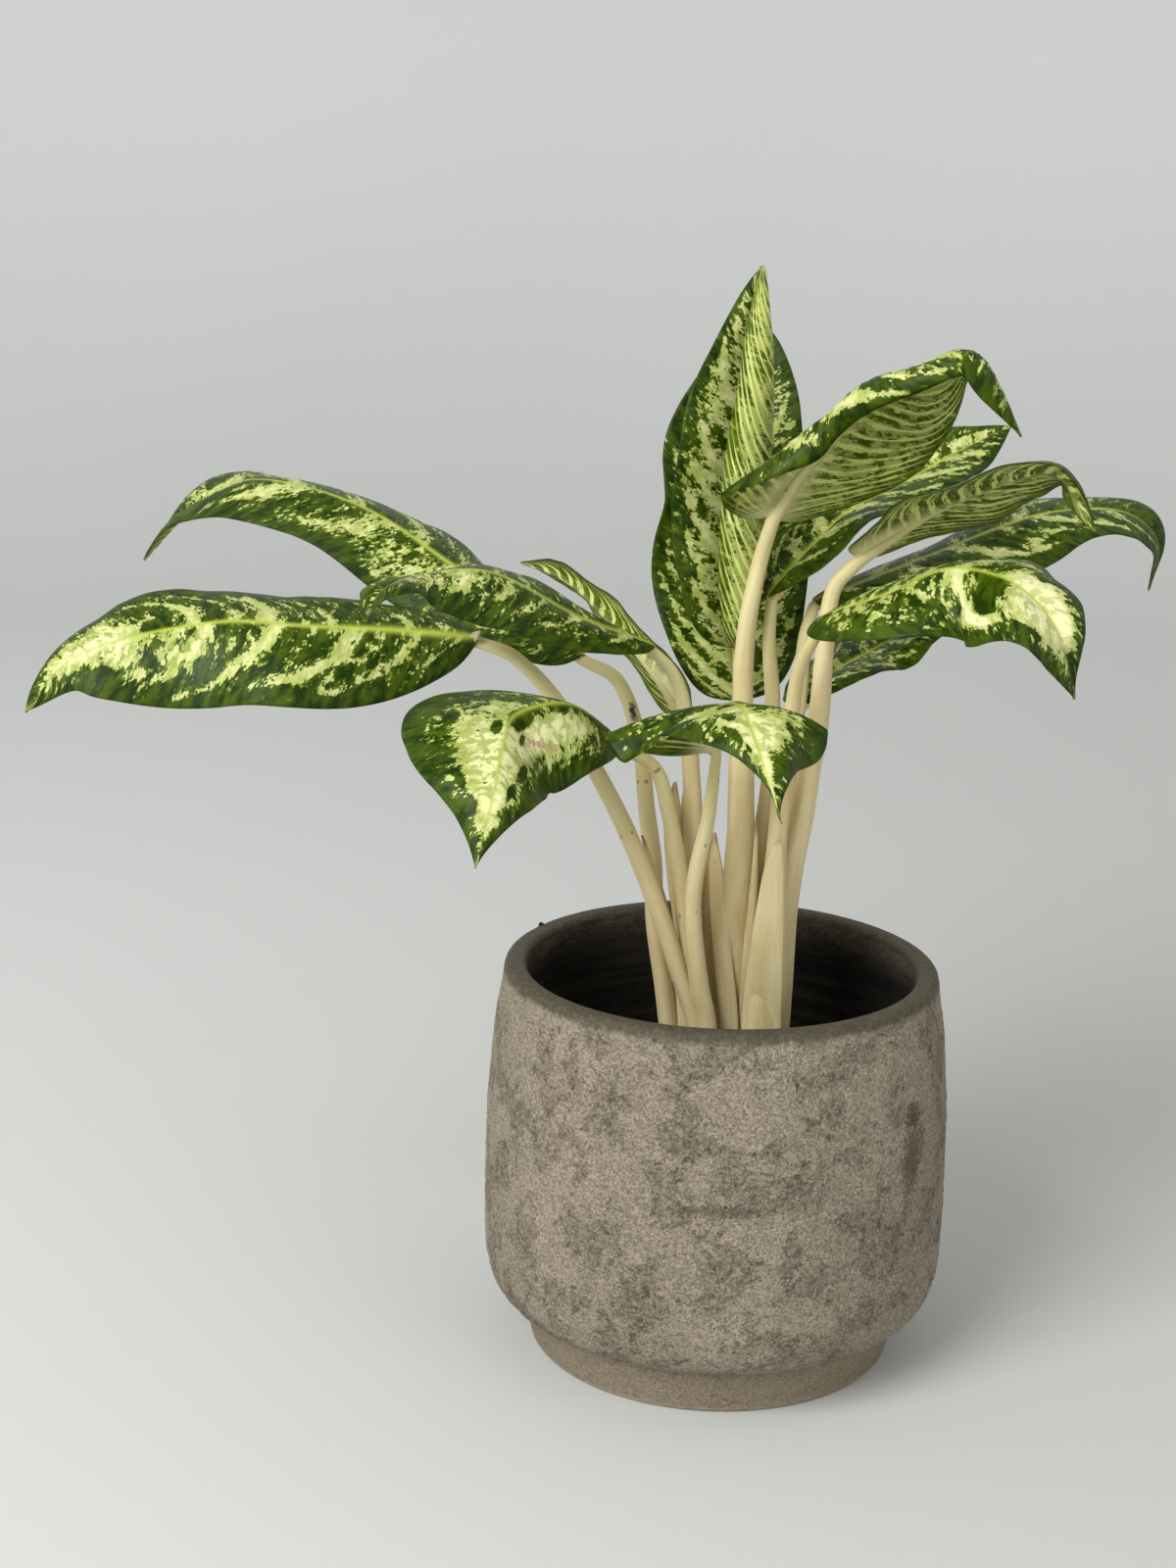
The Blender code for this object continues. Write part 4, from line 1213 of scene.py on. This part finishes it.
    def build(self, upper: bpy.types.Material, under: bpy.types.Material) -> None:
        """Makes the blade.

        Args:
            upper: The upper face's material.
            under: The underside's material.
        """
        grid = Grid("blade_" + self.leaf.name, self.columns, self.rows)
        item, markings = grid.item, self.leaf.markings
        u = np.sign(grid.across) * np.abs(grid.across)**self.crowding
        t = (grid.ahead + 1) / 2
        share = np.abs(u)
        points = self.by_half(u, lambda half: self.surface(share.ravel(), t.ravel(), half))
        for _ in range(self.smoothings):
            points[1:-1] = (points[:-2] + 2 * points[1:-1] + points[2:]) / 4
        length = lengths(self.rib(np.linspace(0, 1, 60))).sum()
        reach = self.by_half(u, lambda half: self.reach(t.ravel(), half))[..., 0]
        out_mm = u * reach
        vein = t - 0.06 * share - 0.24 * share**3.2
        normal = unit(np.cross(np.gradient(points, axis=1), np.gradient(points, axis=0)) + 1e-9)
        grid.put(points + normal * self.relief(u, t, reach, vein * length)[..., None])
        bias, milky = self.marks(u, t, vein)
        rib_half, back_half = 0.35 + 1.25 * (1 - t)**1.3, 0.8 + 8.5 * (1 - t)**5
        grid.keep(
            cream=bias, milky=milky, vein_mm=vein * length,
            feather_mm=(t - 0.05 * share**1.5) * length,
            out_mm=np.abs(out_mm) + self.halves_apart * (u > 0),
            seed=np.full_like(u, markings.seed), back=np.full_like(u, markings.back),
            rib_line=np.exp(-(out_mm / rib_half)**2) * (1 - smooth_step(t, 0.7, 1.0)),
            rib_back=np.exp(-(out_mm / back_half)**2) * (1 - 0.8 * smooth_step(t, 0.12, 0.45)),
            dry_tip=smooth_step(t, 0.985, 0.998))
        swell = self.rib_swell * np.exp(-(out_mm / 2.4)**2) * (1 - t)**0.8
        thin, thick = self.margin_thickness, self.centre_thickness
        greatest = thick + self.rib_swell
        depth = thin + (thick - thin) * (1 - share**3) + swell
        weigh(item, "thickness", grid.by_vertex(depth / greatest).ravel())
        for finish in (upper, under):
            item.data.materials.append(finish)
        apply(item, "SOLIDIFY", thickness=greatest * MM, offset=-1.0, vertex_group="thickness",
              material_offset=1, material_offset_rim=0)
        dress(item, "leaf_blade", ("leaf_" + self.leaf.name,))


@dataclass
class Tube:
    """A closed, tapering round form along a route, flattened and turned as asked."""

    name: str
    route: np.ndarray
    radii: np.ndarray
    upper_side: np.ndarray
    flatness: np.ndarray
    foot_side: tuple = ORIGIN
    groove: float = 0.0
    sides: int = 24
    seed: float = 0.0

    def sides_up(self, ahead: np.ndarray) -> np.ndarray:
        """Which way is up on the tube at each place, carried back from its end.

        Args:
            ahead: The way that the route runs there.

        Returns:
            One direction for each place, square to the route.
        """
        rows = len(self.route)
        up = np.empty_like(self.route)
        up[-1] = self.upper_side
        for i in range(rows - 1, -1, -1):
            carried = up[min(i + 1, rows - 1)]
            up[i] = unit(carried - ahead[i] * (carried @ ahead[i]))
        foot_side = np.array(self.foot_side)
        foot_side = foot_side * (1 if foot_side @ up[0] >= 0 else -1)
        up += 3 * (1 - smooth_step(np.linspace(0, 1, rows), 0.1, 0.6))[:, None] * foot_side
        return unit(up - ahead * (up * ahead).sum(1)[:, None])

    def build(self) -> bpy.types.Object:
        """The tube, with round_mm, length_mm and seed kept on its vertices."""
        grid = Grid(self.name, self.sides, len(self.route) - 1)
        turn = (grid.across + 1) * pi
        turn[:, -1] = 0.0
        ahead = unit(np.gradient(self.route, axis=0))
        up = self.sides_up(ahead)
        side = np.cross(ahead, up)
        wide = self.radii * (1 + self.flatness)
        deep = self.radii * (1 - 0.3 * np.minimum(self.flatness, 1.2))
        from_top = np.abs((turn + pi / 2) % (2 * pi) - pi)
        dip = 1 - self.groove * np.exp(-(from_top / 0.5)**2)
        across = np.cos(turn) * wide[:, None]
        grid.put(self.route[:, None] + side[:, None] * across[..., None]
                 + up[:, None] * (np.sin(turn) * deep[:, None] * dip)[..., None])
        grid.keep(round_mm=across, length_mm=run(self.route)[:, None] + 0 * turn,
                  seed=np.full_like(turn, self.seed))
        mesh = bpy.ops.mesh
        edit(grid.item, (mesh.remove_doubles, {"threshold": MERGE_DISTANCE}),
             (mesh.select_all, {"action": "DESELECT"}), (mesh.select_mode, {"type": "EDGE"}),
             (mesh.select_non_manifold, {}), (mesh.fill_holes, {"sides": 0}),
             (mesh.select_mode, {"type": "VERT"}), (mesh.select_all, {"action": "SELECT"}),
             (mesh.normals_make_consistent, {"inside": False}))
        return grid.item


@dataclass
class Petiole:
    """One leaf stalk, from inside the sheaths to the blade and on under it as its midrib."""

    leaf: Leaf
    shoot: Shoot
    start_height: float = 90.0
    rib_reach: float = 0.8
    stoutness: float = 1.2
    stalk_steps: int = 64
    rib_steps: int = 40
    roundness: float = 0.06

    def build(self, finish: bpy.types.Material) -> None:
        """Makes the stalk.

        Args:
            finish: The stalks' material.
        """
        leaf, blade, count = self.leaf, Blade(self.leaf), self.stalk_steps
        low, high = leaf.petiole_radii
        ts = np.linspace(0.0, self.rib_reach, self.rib_steps)
        rib_radii = 0.45 + (high - 0.75) * (1 - ts / self.rib_reach)**2.4
        both = blade.axes(ts, Half.LEFT)[1] + blade.axes(ts, Half.RIGHT)[1]
        drop = (rib_radii + 0.55) / (np.linalg.norm(both, axis=1) / 2)
        under = blade.rib(ts)[:, :3] - unit(both) * drop[:, None]
        first = (*leaf.petiole[0], self.start_height)
        stalk = np.array([first, *leaf.petiole[1:], under[0]], float)
        at = np.linspace(0, 1, count, endpoint=False)
        route = np.concatenate([along(stalk, at), under])
        stout = self.stoutness * (low + (high - low) * at**0.8)
        radii = np.concatenate([stout * (1 - at**6) + rib_radii[0] * at**6, rib_radii])
        wide, top = leaf.sheath
        broad = 1 - smooth_step(route[:count, 2], 0.6 * self.start_height + 0.4 * top, top)
        spread = np.maximum(0.0, wide / stout - 1 - self.roundness)
        flatness = np.full(len(route), self.roundness)
        flatness[:count] += broad * spread
        mid, foot = along(stalk, np.array([0.45]))[0], self.shoot.foot
        facing = unit(np.array((mid[0] - foot[0], mid[1] - foot[1] - 3.0, 0.0)))
        item = Tube("petiole_" + leaf.name, route, radii, unit(both[-1]), flatness,
                    tuple(facing), groove=0.12, sides=28, seed=leaf.markings.seed).build()
        steps = lengths(route)
        share = (read(item, "length_mm") - steps[:count].sum()) / steps[count:].sum()
        greening = 0.35 * smooth_step(share, -0.8, 0.0) + 0.65 * smooth_step(share, 0.05, 0.55)
        dress_stalk(item, self.shoot.name, finish, greening)


@dataclass
class Cane:
    """The short ringed cane that the shoot's petioles leave."""

    shoot: Shoot
    bottom: float = 60.0
    top: float = 108.0
    ring_spacing: float = 9.0
    rows: int = 60

    def build(self, finish: bpy.types.Material) -> None:
        """Makes the cane.

        Args:
            finish: The stalks' material.
        """
        x, y = self.shoot.foot
        heights = np.linspace(self.bottom, self.top, self.rows)
        radii = np.interp(heights, (60, 96, self.top - 4, self.top), (5.6, 5.7, 5.0, 3.0))
        radii += 0.12 * np.cos(2 * pi * heights / self.ring_spacing)
        route = np.stack([np.full(self.rows, x), np.full(self.rows, y), heights], 1).astype(float)
        item = Tube("cane_" + self.shoot.name, route, radii, np.array((0.0, 1.0, 0.0)),
                    np.zeros(self.rows), seed=x + 3.3).build()
        dress_stalk(item, self.shoot.name, finish)


@dataclass
class Sheath:
    """A thin, flat sheath that wraps the foot of a stalk and ends in an oblique dry point."""

    name: str
    shoot: str
    route: tuple
    widths: tuple
    depth: float = 1.3
    rows: int = 60

    def build(self, finish: bpy.types.Material) -> None:
        """Makes the sheath, from its foot up.

        Args:
            finish: The stalks' material.
        """
        points = np.array(self.route, float)[::-1]
        at = np.linspace(0, 1, self.rows)
        far = run(points)
        wide = np.interp(at, far / far[-1], self.widths[::-1])
        deep = np.minimum(self.depth, 0.8 * wide)
        item = Tube("sheath_" + self.name, along(points, at), deep, np.array((0.0, -1.0, 0.0)),
                    wide / deep - 1, seed=float(points[0][0])).build()
        top = points[-1][2]
        dry = smooth_step(places(item)[:, 2] / MM, top - 7, top - 1)
        dress_stalk(item, self.shoot, finish, dry_end=dry)


@dataclass
class Pot:
    """The round pot: flat underside, foot band, rough belly, rounded lip and smooth inside."""

    steps: int = 384
    height: float = 136.0
    wall: float = 7.6
    floor: float = 8.0
    floor_corner: float = 26.0
    belly_heights: tuple = (16.0, 19.6, 24.8, 33.6, 52.0, 88.0, 116.0, 133.4)
    belly_radii: tuple = (66.8, 74.4, 78.0, 79.6, 80.0, 79.4, 77.0)
    rim_radius: float = 74.0
    lip_round: float = 2.6
    relief: float = 1.0
    grain: float = 0.0032

    def outer(self, z: np.ndarray) -> np.ndarray:
        """The belly's radius at a height."""
        return np.interp(z, self.belly_heights, (*self.belly_radii, self.rim_radius))

    def profile(self) -> tuple[np.ndarray, np.ndarray]:
        """The turned outline from the underside over the lip to the inner floor.

        Returns:
            Points of radius and height, and how far inside the pot each lies, from 0 to 1.
        """
        foot = [(60.0, 0.0), (61.6, 0.0), (62.4, 0.3), (62.9, 0.9)]
        foot += [(62.9 + 3.9 * (z - 1) / 14.5, z) for z in np.linspace(1.6, 15.4, 12)]
        belly_z = [*np.linspace(16.2, 34.0, 20), *np.linspace(35.0, self.height - 3.2, 86)]
        around = np.linspace(-3.5, 3.5, 9)
        belly = [(self.outer(z + around * min(1, (z - 16) / 8)).mean(), z) for z in belly_z]
        bend, top = self.lip_round, self.height - self.lip_round
        outer_edge, inner_edge = self.rim_radius - bend, self.rim_radius - self.wall + bend
        lip = [(outer_edge + bend * cos(a), top + bend * sin(a))
               for a in np.linspace(0.15, pi / 2, 8)]
        lip_in = [(inner_edge - bend * sin(a), top + bend * cos(a))
                  for a in np.linspace(0.0, pi / 2, 8)]
        corner, corner_top = self.floor_corner, self.floor + self.floor_corner
        inner_z = np.linspace(self.height - 5.0, self.floor + 1.0, 40)
        drop = np.maximum(0, (corner_top - inner_z) / corner)
        inner = (self.outer(np.maximum(inner_z, corner_top)) - self.wall
                 - corner * (1 - np.sqrt(1 - drop**2)))
        outside = foot + belly + lip
        points = np.array([*outside, *lip_in, *zip(inner, inner_z), (30.0, self.floor)])
        return points, smooth_step(np.arange(len(points)) - len(outside), 2.0, 12.0)

    def build(self, finish: bpy.types.Material) -> None:
        """Turns the pot ring by ring and roughens its belly.

        Args:
            finish: The pot's material.
        """
        points, depth = self.profile()
        item = turned("pot_body", self.steps, points * MM, fill="TRIFAN")
        edit(item, (bpy.ops.mesh.normals_make_consistent, {"inside": False}))
        placed = places(item)
        radius, z = np.hypot(placed[:, 0], placed[:, 1]) / MM, placed[:, 2] / MM
        gap = (radius[:, None] - points[:, 0])**2 + (z[:, None] - points[:, 1])**2
        inside = depth[np.argmin(gap, axis=1)]
        store(item, "inside", inside)
        rough = bpy.data.textures.new("belly_relief", "CLOUDS")
        rough.noise_scale, rough.noise_depth = self.grain, 4
        belly = smooth_step(z, 15.8, 22.0) * (1 - smooth_step(z, 124.0, 132.0))
        weigh(item, "relief", (1 - inside) * (belly + 0.12 * smooth_step(z, 1.5, 3.0)))
        apply(item, "DISPLACE", texture=rough, strength=self.relief * MM, mid_level=0.72,
              vertex_group="relief", texture_coords="LOCAL")
        dress(item, "stoneware", ("pot",), finish)


@dataclass
class Soil:
    """The soil's lumpy body inside the pot, its loose crumbs and one more on the rim."""

    level: float = 84.0
    thickness: float = 12.0
    radius: float = 70.6
    steps: int = 160
    rings: int = 56
    crumbs: int = 260
    crumbs_reach: float = 66.0
    seed: int = 11
    on_rim: tuple = (-64.6, 33.2, 135.8)
    on_rim_size: float = 1.1

    def height(self, x: np.ndarray, y: np.ndarray) -> np.ndarray:
        """The lumpy level of the soil, in millimetres."""
        lumps = np.sin(0.31 * x + 1.1) * np.cos(0.27 * y) + 0.6 * np.sin(0.63 * y - 0.5 * x)
        lumps += 0.4 * np.cos(0.9 * x + 0.7 * y)
        fine = np.sin(1.9 * x + 0.8 * np.sin(1.3 * y)) * np.sin(2.1 * y + 0.9 * np.sin(1.7 * x))
        return self.level + 1.1 * lumps + 0.5 * fine

    def body(self, finish: bpy.types.Material) -> None:
        """Makes the lumpy body.

        Args:
            finish: The soil's material.
        """
        rings = [(radius, 0.0) for radius in np.linspace(1.0, 0.02, self.rings)]
        item = turned("soil_body", self.steps, rings)
        flat = places(item) * self.radius
        flat[:, 2] = self.height(flat[:, 0], flat[:, 1])
        set_places(item, flat * MM)
        apply(item, "SOLIDIFY", thickness=self.thickness * MM, offset=-1.0)
        edit(item, (bpy.ops.mesh.normals_make_consistent, {"inside": False}))
        dress(item, "potting_soil", ("soil",), finish)

    def crumb(self, place: tuple, size: float, turn: tuple = ORIGIN,
              scale: tuple = (1.0, 1.0, 1.0)) -> bpy.types.Object:
        """Adds one crumb.

        Args:
            place: Its middle, in millimetres.
            size: Its radius, in millimetres.
            turn: Its turn about each axis.
            scale: How much longer it is along each.

        Returns:
            The crumb.
        """
        deselect()
        bpy.ops.mesh.primitive_ico_sphere_add(
            subdivisions=1, radius=size * MM, location=tuple(value * MM for value in place),
            rotation=turn)
        bpy.context.object.scale = scale
        return bpy.context.object

    def loose(self, finish: bpy.types.Material) -> None:
        """Makes the crumbs, joined in one piece.

        Args:
            finish: The soil's material.
        """
        draw = np.random.default_rng(self.seed)
        made = []
        for _ in range(self.crumbs):
            distance, turn = self.crumbs_reach * sqrt(draw.uniform()), draw.uniform(0, 2 * pi)
            x, y, size = distance * cos(turn), distance * sin(turn), draw.uniform(0.5, 1.9)
            z = float(self.height(np.array(x), np.array(y))) + 0.2 * size
            made.append(self.crumb((x, y, z), size, tuple(draw.uniform(0, pi, 3)),
                                   tuple(draw.uniform(0.6, 1.3, 3))))
        made.append(self.crumb(self.on_rim, self.on_rim_size))
        take(made[0])
        for crumb in made:
            crumb.select_set(True)
        bpy.ops.object.join()
        bpy.ops.object.transform_apply(location=True, rotation=True, scale=True)
        dress(added("soil_crumbs"), "potting_soil", (), finish)

    def build(self, finish: bpy.types.Material) -> None:
        """Makes the soil and its loose crumbs."""
        self.body(finish)
        self.loose(finish)


@dataclass
class Studio:
    """The pale floor and wall, the soft lights and the camera."""

    steps: int = 96
    middle: float = 0.4
    floor_radius: float = 1.5
    wall_radius: float = 2.4
    wall_height: float = 1.5
    lit_place: tuple = (0.0, 0.0, 0.18)
    lamps: tuple = (("key", (-1.1, -1.45, 1.45), 1.3, 48.0), ("fill", (1.4, -1.3, 1.0), 1.4, 6.0))
    sky_colour: tuple = (1.0, 0.995, 0.975, 1.0)
    sky_strength: float = 0.62
    camera_place: tuple = (0.0, -0.768, 0.3872)
    pitch: float = 0.243
    yaw: float = -0.061
    roll: float = 0.022
    lens: float = 54.0
    sensor: float = 36.0

    def backdrop(self, finish: bpy.types.Material) -> None:
        """A round floor that curves up into a wall all the way round."""
        rise = self.wall_radius - self.floor_radius
        curve = [(self.floor_radius + rise * sin(a), rise * (1 - cos(a)))
                 for a in np.linspace(0.15, pi / 2, 10)]
        rings = [(self.middle, 0.0), (self.floor_radius, 0.0), *curve,
                 (self.wall_radius, self.wall_height)]
        item = turned("studio_floor", self.steps, rings, fill="NGON", capped=False)
        item.data.materials.append(finish)
        item.data.shade_smooth()

    def put(self, name: str, data: bpy.types.ID) -> bpy.types.Object:
        """Adds a light or camera to the scene."""
        item = bpy.data.objects.new(name, data)
        bpy.context.scene.collection.objects.link(item)
        return item

    def lights(self) -> None:
        """A broad soft light above and to the left, a low fill, and an even pale sky."""
        for name, place, size, power in self.lamps:
            light = bpy.data.lights.new(name, "AREA")
            light.shape, light.size, light.energy = "DISK", size, power
            item = self.put(name, light)
            item.location = place
            aim = Vector(self.lit_place) - Vector(place)
            item.rotation_euler = aim.to_track_quat("-Z", "Y").to_euler()
        world = bpy.data.worlds.new("pale_sky")
        bpy.context.scene.world = world
        world.use_nodes = True
        sky = world.node_tree.nodes["Background"]
        sky.inputs["Color"].default_value = self.sky_colour
        sky.inputs["Strength"].default_value = self.sky_strength

    def camera(self) -> None:
        """The camera at the photograph's place and angle."""
        pitch, yaw, roll = self.pitch, self.yaw, self.roll
        ahead = Vector((sin(yaw) * cos(pitch), cos(yaw) * cos(pitch), -sin(pitch)))
        level = Vector((cos(yaw), -sin(yaw), 0.0))
        above = level.cross(ahead)
        right = cos(roll) * level + sin(roll) * above
        up = -sin(roll) * level + cos(roll) * above
        lens = bpy.data.cameras.new("camera")
        lens.lens, lens.sensor_width = self.lens, self.sensor
        item = self.put("camera", lens)
        facing = Matrix((right, up, -ahead)).transposed().to_4x4()
        item.matrix_world = Matrix.Translation(self.camera_place) @ facing
        bpy.context.scene.camera = item

    def build(self, finish: bpy.types.Material) -> None:
        """Sets up the whole studio."""
        self.backdrop(finish)
        self.lights()
        self.camera()
        bpy.context.scene.view_settings.view_transform = "Standard"


SHEATHS = (
    Sheath("mid_front", "front",
           ((-3.8, -6.0, 182.7), (-3.1, -6.0, 172.4), (-1.6, -6.0, 158.8), (0.7, -6.0, 138.0),
            (3.6, -6.0, 115.3), (3.6, -6.0, 94.0)), (0.6, 2.2, 3.0, 3.2, 3.2, 3.2)),
    Sheath("mid_back", "centre",
           ((-4.5, 2.0, 178.0), (-4.8, 2.0, 168.0), (-5.2, 2.0, 155.0), (-5.2, 1.5, 138.0),
            (-4.6, 1.5, 118.0), (-2.6, 2.0, 94.0)), (0.5, 2.0, 3.0, 3.6, 3.8, 3.8)),
    Sheath("low_left", "left",
           ((-27.9, -9.0, 181.8), (-25.8, -9.0, 175.1), (-22.9, -9.0, 165.7),
            (-17.0, -9.0, 145.2), (-11.4, -9.0, 124.5), (-9.5, -9.0, 96.0)),
           (0.4, 1.0, 1.8, 2.4, 2.6, 2.6)),
    Sheath("tall_left", "left",
           ((-17.6, 2.0, 197.8), (-18.0, 2.0, 190.2), (-17.8, 2.0, 181.0), (-15.2, 1.0, 163.1),
            (-11.5, 0.0, 142.6), (-8.4, -2.0, 118.7), (-8.4, -2.0, 94.0)),
           (0.5, 2.4, 3.2, 3.9, 4.2, 4.2, 4.2)),
    Sheath("broad_right", "right",
           ((17.8, -17.0, 187.8), (17.1, -17.0, 181.1), (16.2, -16.0, 171.0),
            (15.4, -14.0, 151.9), (14.8, -11.0, 133.7), (14.5, -8.0, 116.5), (14.5, -7.0, 94.0)),
           (0.4, 2.0, 3.6, 5.2, 6.2, 6.8, 6.8)),
    Sheath("slim_centre", "centre",
           ((10.1, -9.0, 188.1), (10.2, -9.0, 177.2), (10.1, -8.0, 163.3), (9.2, -6.0, 141.9),
            (8.8, -4.0, 116.6), (8.4, -3.0, 94.0)), (0.4, 0.9, 1.5, 2.0, 2.4, 2.4)),
)


def main() -> None:
    """Builds every piece in its order."""
    logging.basicConfig(level=logging.INFO, format="%(message)s")
    feathers, veins, grains, spots = feathering(), veining(), sand(), blemish()
    upper = UpperLeafFinish(feathers, veins).make(spots)
    under = UnderLeafFinish(feathers, veins).make()
    stalk = StalkFinish().make(spots)
    Studio().build(StudioFinish().make())
    Pot().build(StonewareFinish().make(grains, spots))
    Soil().build(SoilFinish().make())
    for shoot in SHOOTS:
        Cane(shoot).build(stalk)
        for name in shoot.leaves:
            leaf = LEAVES[name]
            Petiole(leaf, shoot).build(stalk)
            Blade(leaf).build(upper, under)
    for sheath in SHEATHS:
        sheath.build(stalk)


if __name__ == "__main__":
    main()
